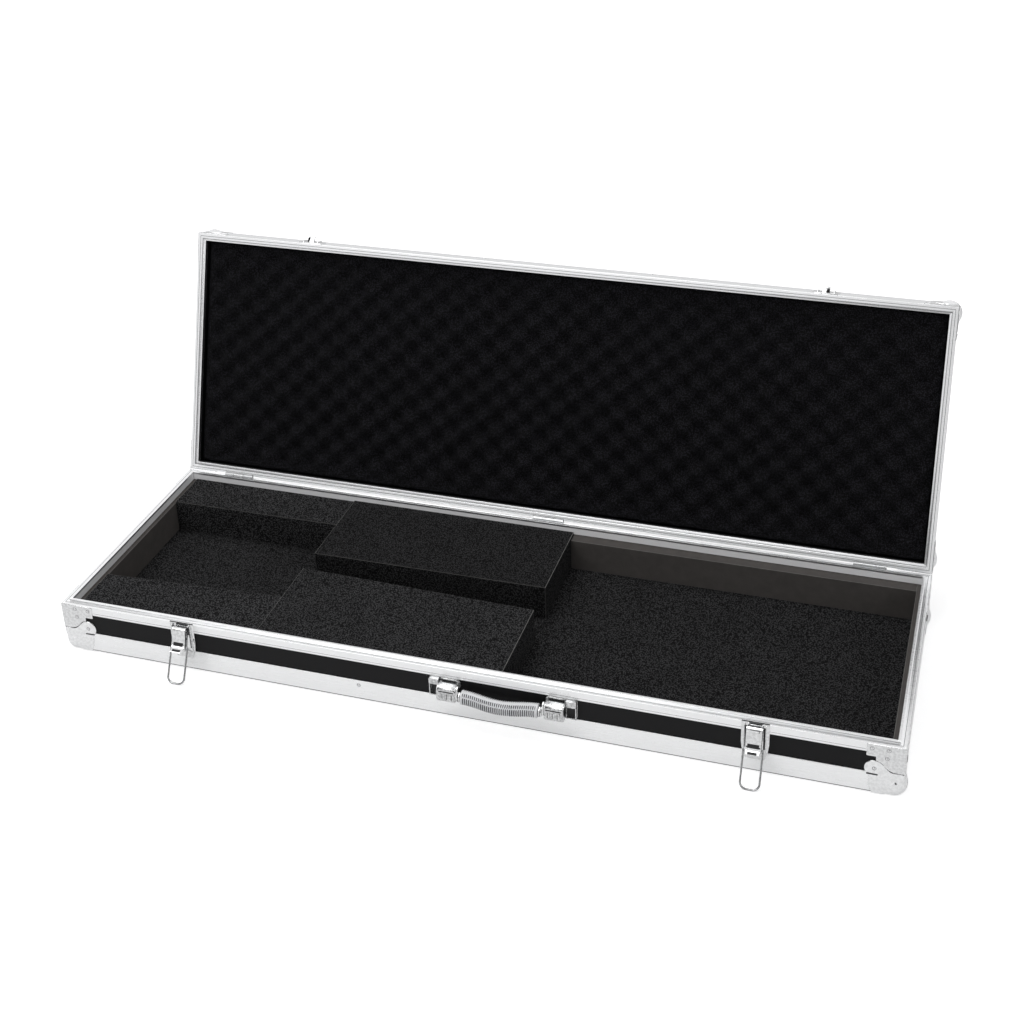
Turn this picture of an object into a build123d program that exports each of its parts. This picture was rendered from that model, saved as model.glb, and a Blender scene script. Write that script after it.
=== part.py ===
"""Bass guitar flight case: aluminium-edged plywood base and lid, latches, hinges, handle and foam."""

import math
import os

from build123d import *

os.makedirs("parts", exist_ok=True)

# Frame: X along the case, -Y the front with the latches, Z up, Z = 0 the underside of the base.

# Overall case
CASE_LENGTH = 1240.0
CASE_DEPTH = 405.0
BASE_HEIGHT = 79.0
LID_HEIGHT = 46.0
OPEN_ANGLE = 107.5

# Wall build-up
METAL = 1.5
PLY = 9.0
SEAT = 0.3

# Rim extrusions
RIM_OUTER_DROP = 14.5
RIM_INNER_DROP = 11.4
TONGUE_WIDTH = 4.0
TONGUE_HEIGHT = 3.0
TONGUE_SIDE_CLEARANCE = 0.4
TONGUE_TOP_CLEARANCE = 0.3

# Edge angles
BASE_EDGE_WIDTH = 31.8
LID_RIM_FLANGE = 14.4

# Ball corners
BALL_RADIUS = 18.5
BALL_CENTRE = 13.0
BALL_FOOT = 3.0
CORNER_CUT = 12.0
CORNER_PLATE = 1.2
CORNER_PLATE_LENGTH = 40.0
CORNER_PLATE_FLARE = 5.0
CORNER_PLATE_HEIGHT = 36.3
CORNER_LOBE_CENTRE = 38.5
CORNER_LOBE_RADIUS = 13.0
LID_CORNER_HEIGHT = 26.0

# Rim braces
BRACE_SHEET = 1.2
BRACE_LENGTH = 50.0
BRACE_GAP = 0.3
BRACE_ARM = 19.8
BRACE_ARM_END = 37.5
BRACE_CLEARANCE = 0.9
BRACE_FOOT_WIDTH = 12.5
LID_BRACE_ARM = 16.0

# Hinges
HINGE_OFFSET = 1.5
HINGE_INSET_LEFT = 92.0
HINGE_INSET_RIGHT = 91.0
HINGE_MIDDLE_X = 20.0
HINGE_WIDTH = 50.0
HINGE_LEAF = 1.2
HINGE_LEAF_HEIGHT = 30.0
HINGE_MIDDLE = 17.6
HINGE_END_PLAY = 0.2
KNUCKLE_RADIUS = 3.5
KNUCKLE_RECESS = 3.9
HINGE_PIN_RADIUS = 1.5
RUNNING = 0.05

# Latches
LATCH_INSET_LEFT = 200.0
LATCH_INSET_RIGHT = 194.7
LATCH_PLATE_WIDTH = 38.0
LATCH_PLATE_FOOT = 27.0
LATCH_PLATE_RISE = 1.5
LATCH_PLATE_STRAIGHT = 45.5
LATCH_PLATE_HEIGHT = 60.5
LATCH_SEAT_CLEARANCE = 3.2
LATCH_SHEET = 1.2
LATCH_PIVOT_OUT = 7.0
LATCH_PIVOT_DROP = 7.0
LATCH_PIN_RADIUS = 1.5
SCOOP_OUT = 12.0
SCOOP_DROP = 21.5
LATCH_PIN_LENGTH = 22.4
EAR_OUTER = 9.2
EAR_RADIUS = 3.6
FLANGE_OUTER = 10.7
FLANGE_INNER = 9.5
BAIL_PIVOT_OUT = 14.0
LEVER_ARM = 26.0
BAIL_WIRE = 3.0
BAIL_SPACING = 26.0
BAIL_LENGTH = 53.0
BAIL_BEND = 9.0
BAIL_TILT = 26.8
BAIL_STUB_IN = 8.4
KEEPER_WIDTH = 40.0
KEEPER_RISE = 6.0
KEEPER_HEIGHT = 25.0
HOOK_HALF = 5.5
HOOK_CLEARANCE = 0.5
BAIL_RISE = 0.9
HOOK_OUT = 10.2
HOOK_LIP_HEIGHT = 3.1
HOOK_WEB = 3.2

# Handle
HANDLE_X = 73.3
BRACKET_CENTRE = 84.7
BRACKET_WIDTH = 46.0
BRACKET_SHEET = 1.2
BRACKET_BODY_WIDTH = 28.0
BRACKET_BODY_INSET = 2.5
BRACKET_BODY_HEIGHT = 24.0
BRACKET_BODY_OUT = 17.0
BRACKET_WALL = 2.0
HANDLE_PIVOT_OUT = 10.0
HANDLE_PIVOT_RISE = 7.0
HANDLE_PIN_RADIUS = 2.5
HANDLE_ARM = 2.8
HANDLE_ARM_RADIUS = 5.0
GRIP_HALF = 56.0
GRIP_RADIUS = 10.3
GRIP_COLLAR_RADIUS = 7.5
GRIP_REACH = 3.0
GRIP_HANG = 9.0
GRIP_BOW_OUT = 3.5
GRIP_BOW_DROP = 4.0

# Foam and lining
FLOOR_FOAM = 4.5
LINER = 8.0
BACK_LINER = 19.5
LINER_DROP = 11.8
HEADSTOCK_DROP = 9.0
NECK_DROP = 7.0
HEADSTOCK_LENGTH = 308.7
NECK_LENGTH = 377.0
BLOCK_GAP = 0.3
HEADSTOCK_REAR_DEPTH_LEFT = 89.5
HEADSTOCK_REAR_DEPTH_RIGHT = 86.5
HEADSTOCK_FRONT_DEPTH_LEFT = 97.5
HEADSTOCK_FRONT_DEPTH_RIGHT = 112.5
NECK_REAR_DEPTH_LEFT = 174.5
NECK_REAR_DEPTH_RIGHT = 171.5
NECK_FRONT_DEPTH_LEFT = 188.5
NECK_FRONT_DEPTH_RIGHT = 175.5
LID_FOAM_GAP = 2.0
LID_FOAM_RISE = 7.0

# Rivets
RIVET_RADIUS = 2.4
RIVET_HEAD = 1.0
RIM_RIVET_DROP = 6.9
HINGE_RIVET_REACH = 17.0
HINGE_RIVET_RISE = 21.5
EDGE_RIVET_INSET = 8.0
FRONT_RIVET_X = -144.0
LID_RIVET_SPREAD = 138.5
LID_RIVET_OFFSET = 11.5

# Derived positions
LID_EDGE_WIDTH = LID_HEIGHT - LID_RIM_FLANGE
HALF_L = CASE_LENGTH / 2
HALF_D = CASE_DEPTH / 2
CLOSED_TOP = BASE_HEIGHT + LID_HEIGHT
WALL_IN = METAL + PLY
RIM_WIDTH = METAL + PLY + METAL
RIM_UNDER = BASE_HEIGHT - METAL
TONGUE_U = RIM_WIDTH - TONGUE_WIDTH
LID_STEP_U = TONGUE_U - TONGUE_SIDE_CLEARANCE
LID_STEP_Z = BASE_HEIGHT + TONGUE_HEIGHT + TONGUE_TOP_CLEARANCE
LID_PLY_Z = LID_STEP_Z + METAL
LID_RIM_TOP = CLOSED_TOP - LID_EDGE_WIDTH
FLOOR_Z = WALL_IN + FLOOR_FOAM
HINGE_Y = HALF_D + HINGE_OFFSET
HINGE_Z = BASE_HEIGHT
LATCH_XS = {"left": -HALF_L + LATCH_INSET_LEFT, "right": HALF_L - LATCH_INSET_RIGHT}
HINGE_XS = (-HALF_L + HINGE_INSET_LEFT, HINGE_MIDDLE_X, HALF_L - HINGE_INSET_RIGHT)
LATCH_PLATE_TOP = BASE_HEIGHT + LATCH_PLATE_RISE
LATCH_PLATE_WAIST = LATCH_PLATE_TOP - LATCH_PLATE_STRAIGHT
LATCH_PLATE_BOTTOM = LATCH_PLATE_TOP - LATCH_PLATE_HEIGHT
LATCH_PIVOT_Z = BASE_HEIGHT - LATCH_PIVOT_DROP
BAIL_PIVOT_Z = LATCH_PIVOT_Z - LEVER_ARM
KEEPER_BOTTOM = BASE_HEIGHT + KEEPER_RISE
KEEPER_TOP = KEEPER_BOTTOM + KEEPER_HEIGHT
PANEL_MID_Z = (BASE_EDGE_WIDTH + BASE_HEIGHT - RIM_OUTER_DROP) / 2
HANDLE_PIVOT_Z = PANEL_MID_Z + HANDLE_PIVOT_RISE
LINER_TOP = BASE_HEIGHT - LINER_DROP
HEADSTOCK_TOP = BASE_HEIGHT - HEADSTOCK_DROP
NECK_TOP = BASE_HEIGHT - NECK_DROP
LID_FOAM_FACE = BASE_HEIGHT + LID_FOAM_RISE
HEADSTOCK_RIGHT = -HALF_L + HEADSTOCK_LENGTH
NECK_LEFT = HEADSTOCK_RIGHT + BLOCK_GAP
NECK_RIGHT = NECK_LEFT + NECK_LENGTH
CORNER_SIGNS = {"fl": (-1, -1), "fr": (1, -1), "bl": (-1, 1), "br": (1, 1)}

LID_OPEN = Pos(0, HINGE_Y, HINGE_Z) * Rot(-OPEN_ANGLE, 0, 0) * Pos(0, -HINGE_Y, -HINGE_Z)


def box(x0, x1, y0, y1, z0, z1):
    """A box between three pairs of bounds."""
    size = Box(x1 - x0, y1 - y0, z1 - z0)
    return Pos((x0 + x1) / 2, (y0 + y1) / 2, (z0 + z1) / 2) * size


def prism(points, direction):
    """A straight solid: a closed outline of 3-D points carried along a vector."""
    vector = Vector(*direction)
    return extrude(make_face(Polyline(*points, close=True)), amount=vector.length, dir=vector.normalized())


def rod(start, direction, radius):
    """A round bar from a start point along a vector."""
    vector = Vector(*direction)
    end_plane = Plane(origin=start, z_dir=vector.normalized())
    return extrude(end_plane * Circle(radius), amount=vector.length)


def side_frame(side):
    """Placement of one wall: local X along the wall, local Y inward from its outer face, Z up."""
    if side == "front":
        return Pos(0, -HALF_D, 0)
    if side == "back":
        return Pos(0, HALF_D, 0) * Rot(0, 0, 180)
    if side == "left":
        return Pos(-HALF_L, 0, 0) * Rot(0, 0, -90)
    return Pos(HALF_L, 0, 0) * Rot(0, 0, 90)


def side_half(side):
    """Half the length of one wall."""
    return HALF_L if side in ("front", "back") else HALF_D


def mitred(section, side):
    """A profile of (inward, height) points run along one wall and mitred at both ends."""
    half = side_half(side)
    reach = max(u for u, z in section) + 1
    low = min(z for u, z in section) - 1
    high = max(z for u, z in section) + 1
    bar = prism([(-half, u, z) for u, z in section], (2 * half, 0, 0))
    plan = [(-half, 0, low), (half, 0, low), (half - reach, reach, low), (-half + reach, reach, low)]
    return side_frame(side) * (bar & prism(plan, (0, 0, high - low)))


def corner_box(x_sign, y_sign, size, low, high):
    """A square column of one size set in from a vertical corner of the case."""
    xs = sorted((x_sign * (HALF_L + 8), x_sign * (HALF_L - size)))
    ys = sorted((y_sign * (HALF_D + 8), y_sign * (HALF_D - size)))
    return box(xs[0], xs[1], ys[0], ys[1], low, high)


def trim_corners(shape, low, high):
    """Cut the room that the ball corners fill out of a panel or an angle."""
    for x_sign, y_sign in CORNER_SIGNS.values():
        shape = shape - corner_box(x_sign, y_sign, CORNER_CUT, low, high)
    return shape


def write(name, shape, lid=False):
    """Write one node; lid pieces are turned from the closed pose to the open one."""
    placed = LID_OPEN * shape if lid else shape
    export_step(placed, "parts/" + name + ".step")


# Room along the hinge line for the knuckles
knuckle_room = None
for hinge_x in HINGE_XS:
    half_room = HINGE_WIDTH / 2 + SEAT
    room = rod((hinge_x - half_room, HINGE_Y, HINGE_Z), (2 * half_room, 0, 0), KNUCKLE_RECESS)
    knuckle_room = room if knuckle_room is None else knuckle_room + room

# Base panels. The bottom is rebated so that the feet of the edge angles lie flush with it.
base_bottom = box(-HALF_L + WALL_IN, HALF_L - WALL_IN, -HALF_D + WALL_IN, HALF_D - WALL_IN, 0, WALL_IN)
rebate = BASE_EDGE_WIDTH + SEAT
rebate_core = box(-HALF_L + rebate, HALF_L - rebate, -HALF_D + rebate, HALF_D - rebate, 0, METAL)
corner_room = CORNER_PLATE_LENGTH + SEAT
for x_sign, y_sign in CORNER_SIGNS.values():
    rebate_core = rebate_core - corner_box(x_sign, y_sign, corner_room, -1, METAL + 1)
base_bottom = base_bottom - (box(-HALF_L, HALF_L, -HALF_D, HALF_D, 0, METAL) - rebate_core)
write("base_bottom_panel", trim_corners(base_bottom, -5, CORNER_CUT))

base_wall = box(-HALF_L + METAL, HALF_L - METAL, METAL, WALL_IN, METAL, RIM_UNDER)
end_wall = box(-HALF_D + WALL_IN, HALF_D - WALL_IN, METAL, WALL_IN, METAL, RIM_UNDER)
write("base_front_panel", trim_corners(side_frame("front") * base_wall, -5, CORNER_CUT))
back_panel = side_frame("back") * base_wall - knuckle_room
write("base_back_panel", trim_corners(back_panel, -5, CORNER_CUT))
write("base_left_panel", trim_corners(side_frame("left") * end_wall, -5, CORNER_CUT))
write("base_right_panel", trim_corners(side_frame("right") * end_wall, -5, CORNER_CUT))

# Base edge angles
base_angle_section = [
    (0, 0),
    (BASE_EDGE_WIDTH, 0),
    (BASE_EDGE_WIDTH, METAL),
    (METAL, METAL),
    (METAL, BASE_EDGE_WIDTH),
    (0, BASE_EDGE_WIDTH),
]
for side in ("front", "back", "left", "right"):
    write("base_angle_" + side, trim_corners(mitred(base_angle_section, side), -5, CORNER_CUT))

# Base rims: a channel over the panel's top edge, with a tongue along its inner side.
base_rim_section = [
    (0, BASE_HEIGHT - RIM_OUTER_DROP),
    (METAL, BASE_HEIGHT - RIM_OUTER_DROP),
    (METAL, RIM_UNDER),
    (WALL_IN, RIM_UNDER),
    (WALL_IN, BASE_HEIGHT - RIM_INNER_DROP),
    (RIM_WIDTH, BASE_HEIGHT - RIM_INNER_DROP),
    (RIM_WIDTH, BASE_HEIGHT + TONGUE_HEIGHT),
    (TONGUE_U, BASE_HEIGHT + TONGUE_HEIGHT),
    (TONGUE_U, BASE_HEIGHT),
    (0, BASE_HEIGHT),
]
for side in ("front", "back", "left", "right"):
    rim = mitred(base_rim_section, side)
    if side == "back":
        rim = rim - knuckle_room
    write("base_rim_" + side, rim)

# Lid panels, angles and rims, built closed over the base.
lid_top = box(
    -HALF_L + WALL_IN, HALF_L - WALL_IN, -HALF_D + WALL_IN, HALF_D - WALL_IN,
    CLOSED_TOP - WALL_IN, CLOSED_TOP - METAL,
)
lid_cut_low = CLOSED_TOP - CORNER_CUT
lid_cut_high = CLOSED_TOP + 5
write("lid_top_panel", trim_corners(lid_top, lid_cut_low, lid_cut_high), lid=True)

lid_wall = box(-HALF_L + METAL, HALF_L - METAL, METAL, WALL_IN, LID_PLY_Z, CLOSED_TOP - METAL)
lid_end_wall = box(-HALF_D + WALL_IN, HALF_D - WALL_IN, METAL, WALL_IN, LID_PLY_Z, CLOSED_TOP - METAL)
for side in ("front", "back"):
    panel = side_frame(side) * lid_wall
    write("lid_" + side + "_panel", trim_corners(panel, lid_cut_low, lid_cut_high), lid=True)
for side in ("left", "right"):
    panel = side_frame(side) * lid_end_wall
    write("lid_" + side + "_panel", trim_corners(panel, lid_cut_low, lid_cut_high), lid=True)

lid_angle_section = [
    (0, CLOSED_TOP),
    (LID_EDGE_WIDTH, CLOSED_TOP),
    (LID_EDGE_WIDTH, CLOSED_TOP - METAL),
    (METAL, CLOSED_TOP - METAL),
    (METAL, LID_RIM_TOP),
    (0, LID_RIM_TOP),
]
lid_angles = {}
for side in ("front", "back", "left", "right"):
    lid_angles[side] = trim_corners(mitred(lid_angle_section, side), lid_cut_low, lid_cut_high)
write("lid_long_angles", Compound(children=[lid_angles["front"], lid_angles["back"]]), lid=True)
write("lid_end_angles", Compound(children=[lid_angles["left"], lid_angles["right"]]), lid=True)

lid_rim_section = [
    (0, BASE_HEIGHT),
    (LID_STEP_U, BASE_HEIGHT),
    (LID_STEP_U, LID_STEP_Z),
    (RIM_WIDTH, LID_STEP_Z),
    (RIM_WIDTH, BASE_HEIGHT + RIM_INNER_DROP),
    (WALL_IN, BASE_HEIGHT + RIM_INNER_DROP),
    (WALL_IN, LID_PLY_Z),
    (METAL, LID_PLY_Z),
    (METAL, LID_RIM_TOP),
    (0, LID_RIM_TOP),
]
for side in ("front", "back", "left", "right"):
    rim = mitred(lid_rim_section, side)
    if side == "back":
        rim = rim - knuckle_room
    write("lid_rim_" + side, rim, lid=True)


def on_front(points, inner, outer):
    """A plate on the front face near its left corner: (along, height) points between two distances out."""
    outline = [(-HALF_L + s, -HALF_D - inner, z) for s, z in points]
    return prism(outline, (0, inner - outer, 0))


def on_left(points, inner, outer):
    """The same plate on the left end face."""
    outline = [(-HALF_L - inner, -HALF_D + s, z) for s, z in points]
    return prism(outline, (inner - outer, 0, 0))


def carry(shape, key, lift=False):
    """Mirror a front-left corner piece to another corner; with lift, also up to the lid's top."""
    x_sign, y_sign = CORNER_SIGNS[key]
    if x_sign > 0:
        shape = mirror(shape, about=Plane.YZ)
    if y_sign > 0:
        shape = mirror(shape, about=Plane.XZ)
    if lift:
        shape = Pos(0, 0, CLOSED_TOP) * mirror(shape, about=Plane.XY)
    return shape


def ball_corner(height, lobed):
    """The front-left lower ball corner: a plate on each of three faces and the ball over the point."""
    side_plate = [(0, 0), (CORNER_PLATE_LENGTH, 0), (CORNER_PLATE_LENGTH, height), (0, height)]
    if lobed:
        flare_z = CORNER_LOBE_CENTRE - CORNER_LOBE_RADIUS * math.sin(math.pi / 3)
        side_plate = side_plate[:2] + [(CORNER_PLATE_LENGTH + CORNER_PLATE_FLARE, flare_z)] + side_plate[2:]
    plates = on_front(side_plate, 0, CORNER_PLATE) + on_left(side_plate, 0, CORNER_PLATE)
    if lobed:
        lobe_x = -HALF_L + CORNER_LOBE_CENTRE
        lobe_y = -HALF_D + CORNER_LOBE_CENTRE
        front_start = (lobe_x, -HALF_D, CORNER_LOBE_CENTRE)
        left_start = (-HALF_L, lobe_y, CORNER_LOBE_CENTRE)
        plates = plates + rod(front_start, (0, -CORNER_PLATE, 0), CORNER_LOBE_RADIUS)
        plates = plates + rod(left_start, (-CORNER_PLATE, 0, 0), CORNER_LOBE_RADIUS)
    low_x = -HALF_L - CORNER_PLATE
    low_y = -HALF_D - CORNER_PLATE
    plates = plates + box(low_x, -HALF_L, low_y, -HALF_D, 0, height)
    far_x = -HALF_L + CORNER_PLATE_LENGTH
    far_y = -HALF_D + CORNER_PLATE_LENGTH
    plates = plates + box(low_x, far_x, low_y, far_y, -CORNER_PLATE, 0)
    plates = plates - corner_box(-1, -1, CORNER_CUT, -8, CORNER_CUT)
    ball = Pos(-HALF_L + BALL_CENTRE, -HALF_D + BALL_CENTRE, BALL_CENTRE) * Sphere(BALL_RADIUS)
    ball = ball & box(-HALF_L - 20, far_x, -HALF_D - 20, far_y, -BALL_FOOT, BASE_HEIGHT)
    case = box(-HALF_L, far_x + 5, -HALF_D, far_y + 5, 0, BASE_HEIGHT)
    case = case - corner_box(-1, -1, CORNER_CUT, -8, CORNER_CUT)
    return plates + (ball - case)


base_ball = ball_corner(CORNER_PLATE_HEIGHT, True)
lid_ball = ball_corner(LID_CORNER_HEIGHT, False)
lid_balls = []
for key in CORNER_SIGNS:
    write("base_ball_corner_" + key, carry(base_ball, key))
    lid_balls.append(carry(lid_ball, key, lift=True))
write("lid_ball_corners", Compound(children=lid_balls), lid=True)


# Corner braces over the rims. The lower arm is joggled in behind the rim to seat on the panel.
brace_top = BASE_HEIGHT - BRACE_GAP
arm_low = brace_top - BRACE_ARM
brace_foot = CORNER_PLATE_HEIGHT + BRACE_CLEARANCE
ear_room = CORNER_LOBE_RADIUS + BRACE_CLEARANCE
ear_angles = [math.radians(96 + 8 * step) for step in range(8)]
gusset = [
    (CORNER_LOBE_CENTRE + ear_room * math.cos(angle), CORNER_LOBE_CENTRE + ear_room * math.sin(angle))
    for angle in ear_angles
]
gusset = gusset + [(BRACE_FOOT_WIDTH + 8, brace_foot + 3.6), (BRACE_FOOT_WIDTH + 2, brace_foot + 0.5)]
gusset = gusset + [(BRACE_FOOT_WIDTH, brace_foot), (0, brace_foot)]
brace_arm = [(0, brace_top), (BRACE_LENGTH, brace_top), (BRACE_LENGTH, arm_low), (BRACE_ARM_END, arm_low)]
brace_outline = brace_arm + gusset
rim_edge = BASE_HEIGHT - RIM_OUTER_DROP - SEAT
brace_seat = [(METAL, rim_edge), (BRACE_LENGTH, rim_edge), (BRACE_LENGTH, arm_low), (BRACE_ARM_END, arm_low)]
brace_seat = brace_seat + gusset[:-1] + [(METAL, brace_foot)]
brace = on_front(brace_outline, 0, BRACE_SHEET) + on_left(brace_outline, 0, BRACE_SHEET)
brace = brace + on_front(brace_seat, -METAL, 0) + on_left(brace_seat, -METAL, 0)
brace = brace + box(-HALF_L - BRACE_SHEET, -HALF_L, -HALF_D - BRACE_SHEET, -HALF_D, brace_foot, brace_top)
brace = brace + box(-HALF_L, -HALF_L + METAL, -HALF_D, -HALF_D + METAL, brace_foot, rim_edge)
for key in CORNER_SIGNS:
    write("base_brace_" + key, carry(brace, key))

lid_brace_low = BASE_HEIGHT + BRACE_GAP
lid_brace_high = lid_brace_low + LID_BRACE_ARM
lid_brace_outline = [
    (0, lid_brace_low),
    (BRACE_LENGTH, lid_brace_low),
    (BRACE_LENGTH, lid_brace_high - 2),
    (BRACE_LENGTH - 4, lid_brace_high),
    (0, lid_brace_high),
]
lid_brace = on_front(lid_brace_outline, 0, BRACE_SHEET) + on_left(lid_brace_outline, 0, BRACE_SHEET)
lid_brace = lid_brace + box(
    -HALF_L - BRACE_SHEET, -HALF_L, -HALF_D - BRACE_SHEET, -HALF_D, lid_brace_low, lid_brace_high
)
lid_braces = [carry(lid_brace, key) for key in CORNER_SIGNS]
write("lid_corner_braces", Compound(children=lid_braces), lid=True)

# Hinges: a base leaf with two knuckles, a lid leaf with the one between, and a pin.
base_leaves = []
lid_leaves = []
hinge_pins = []
half_middle = HINGE_MIDDLE / 2
half_hinge = HINGE_WIDTH / 2
for hinge_x in HINGE_XS:
    leaf_low = BASE_HEIGHT - HINGE_LEAF_HEIGHT - KNUCKLE_RADIUS
    leaf = box(
        hinge_x - half_hinge, hinge_x + half_hinge,
        HALF_D, HALF_D + HINGE_LEAF, leaf_low, BASE_HEIGHT - KNUCKLE_RECESS - SEAT,
    )
    for sign in (-1, 1):
        ends = sorted((hinge_x + sign * (half_middle + HINGE_END_PLAY), hinge_x + sign * half_hinge))
        leaf = leaf + box(ends[0], ends[1], HALF_D, HALF_D + HINGE_LEAF, leaf_low, BASE_HEIGHT - 1)
        leaf = leaf + rod((ends[0], HINGE_Y, HINGE_Z), (ends[1] - ends[0], 0, 0), KNUCKLE_RADIUS)
    pin_start = (hinge_x - half_hinge, HINGE_Y, HINGE_Z)
    base_leaves.append(leaf - rod(pin_start, (HINGE_WIDTH, 0, 0), HINGE_PIN_RADIUS))
    hinge_pins.append(rod(pin_start, (HINGE_WIDTH, 0, 0), HINGE_PIN_RADIUS))
    leaf = box(
        hinge_x - half_hinge, hinge_x + half_hinge,
        HALF_D, HALF_D + HINGE_LEAF, BASE_HEIGHT + KNUCKLE_RECESS + SEAT, BASE_HEIGHT + HINGE_LEAF_HEIGHT,
    )
    leaf = leaf + box(
        hinge_x - half_middle, hinge_x + half_middle,
        HALF_D, HALF_D + HINGE_LEAF, BASE_HEIGHT + 1, BASE_HEIGHT + HINGE_LEAF_HEIGHT,
    )
    leaf = leaf + rod((hinge_x - half_middle, HINGE_Y, HINGE_Z), (HINGE_MIDDLE, 0, 0), KNUCKLE_RADIUS)
    lid_leaves.append(leaf - rod(pin_start, (HINGE_WIDTH, 0, 0), HINGE_PIN_RADIUS + RUNNING))
write("hinge_base_leaves", Compound(children=base_leaves))
write("hinge_pins", Compound(children=hinge_pins))
write("hinge_lid_leaves", Compound(children=lid_leaves), lid=True)

# Latches, drawn about X = 0 with distances out from the front face, then moved to each side.


def out_prism(points, x0, x1):
    """A plate seen from the side: (out, height) points carried from one X to another."""
    return prism([(x0, -HALF_D - d, z) for d, z in points], (x1 - x0, 0, 0))


def out_rod(x0, x1, out, height, radius):
    """A round bar along X at a distance out from the front face."""
    return rod((x0, -HALF_D - out, height), (x1 - x0, 0, 0), radius)


plate_half = LATCH_PLATE_WIDTH / 2
plate_foot = LATCH_PLATE_FOOT / 2
plate_outline = [
    (-plate_half, LATCH_PLATE_TOP),
    (plate_half, LATCH_PLATE_TOP),
    (plate_half, LATCH_PLATE_WAIST),
    (plate_foot, LATCH_PLATE_BOTTOM),
    (-plate_foot, LATCH_PLATE_BOTTOM),
    (-plate_half, LATCH_PLATE_WAIST),
]
plate = prism([(x, -HALF_D, z) for x, z in plate_outline], (0, -LATCH_SHEET, 0))
seat_high = BASE_HEIGHT - RIM_OUTER_DROP - SEAT
seat_low = BASE_EDGE_WIDTH + LATCH_SEAT_CLEARANCE
plate = plate + box(-plate_half, plate_half, -HALF_D, -HALF_D + METAL, seat_low, seat_high)
ear_web = [
    (0, LATCH_PIVOT_Z + 1),
    (LATCH_PIVOT_OUT - EAR_RADIUS, LATCH_PIVOT_Z + 1),
    (LATCH_PIVOT_OUT, LATCH_PIVOT_Z - EAR_RADIUS),
    (0, LATCH_PIVOT_Z - EAR_RADIUS - 6),
]
for sign in (-1, 1):
    xs = sorted((sign * (EAR_OUTER - LATCH_SHEET), sign * EAR_OUTER))
    ear = out_rod(xs[0], xs[1], LATCH_PIVOT_OUT, LATCH_PIVOT_Z, EAR_RADIUS)
    ear = ear + out_prism(ear_web, xs[0], xs[1])
    plate = plate + ear
half_pin = LATCH_PIN_LENGTH / 2
latch_pin = out_rod(-half_pin, half_pin, LATCH_PIVOT_OUT, LATCH_PIVOT_Z, LATCH_PIN_RADIUS)
plate = plate - latch_pin

# The lever is one pressing: a curl over the pivot, a sloping face, a scoop and the curled lip.
curl_inner = EAR_RADIUS + 0.4
curl_outer = curl_inner + LATCH_SHEET
face_foot = (LATCH_PIVOT_OUT + 7.4, LATCH_PIVOT_Z - 16.0)
foot_out = face_foot[0] - LATCH_PIVOT_OUT
foot_up = face_foot[1] - LATCH_PIVOT_Z
foot_reach = math.hypot(foot_out, foot_up)
face_angle = math.atan2(foot_up, foot_out) + math.acos(curl_inner / foot_reach)
face_step = (LATCH_SHEET * math.cos(face_angle), LATCH_SHEET * math.sin(face_angle))


def about_pivot(radius, angle):
    """A point in (out, height) at a radius and angle about the lever's pivot."""
    return (LATCH_PIVOT_OUT + radius * math.cos(angle), LATCH_PIVOT_Z + radius * math.sin(angle))


curl_angles = [face_angle + (math.pi / 2 - face_angle) * step / 6 for step in range(7)]
lever_sheet = [about_pivot(curl_inner, angle) for angle in reversed(curl_angles)]
scoop_top = (LATCH_PIVOT_OUT + SCOOP_OUT, LATCH_PIVOT_Z - SCOOP_DROP)
lip_points = [(11.0, -22.4), (18.0, -26.1), (19.8, -25.8), (20.4, -24.1), (19.3, -23.7), (18.2, -24.7)]
lever_sheet = lever_sheet + [face_foot]
lever_sheet = lever_sheet + [(LATCH_PIVOT_OUT + d, LATCH_PIVOT_Z + z) for d, z in lip_points]
lever_sheet = lever_sheet + [scoop_top, (face_foot[0] + face_step[0], face_foot[1] + face_step[1])]
lever_sheet = lever_sheet + [about_pivot(curl_outer, angle) for angle in curl_angles]
lever = out_prism(lever_sheet, -FLANGE_OUTER, FLANGE_OUTER)
flange_front = about_pivot(curl_outer, face_angle)
lever_flange = [
    flange_front,
    (face_foot[0] + face_step[0], face_foot[1] + face_step[1]),
    scoop_top,
    (BAIL_PIVOT_OUT + 4.4, BAIL_PIVOT_Z - 0.4),
    (BAIL_PIVOT_OUT + 2.8, BAIL_PIVOT_Z - 2.8),
    (BAIL_PIVOT_OUT, BAIL_PIVOT_Z - 3.6),
    (BAIL_PIVOT_OUT - 3, BAIL_PIVOT_Z - 2.2),
    (LATCH_PIVOT_OUT - curl_outer * 0.96, LATCH_PIVOT_Z - 1),
]
for sign in (-1, 1):
    xs = sorted((sign * FLANGE_INNER, sign * FLANGE_OUTER))
    lever = lever + out_prism(lever_flange, xs[0], xs[1])
    lever = lever + out_rod(xs[0], xs[1], LATCH_PIVOT_OUT, LATCH_PIVOT_Z, curl_outer)
lever_bore = LATCH_PIN_RADIUS + RUNNING
lever = lever - out_rod(-20, 20, LATCH_PIVOT_OUT, LATCH_PIVOT_Z, lever_bore)
bail_bore = BAIL_WIRE / 2 + RUNNING
lever = lever - out_rod(-20, 20, BAIL_PIVOT_OUT, BAIL_PIVOT_Z, bail_bore)

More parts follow.
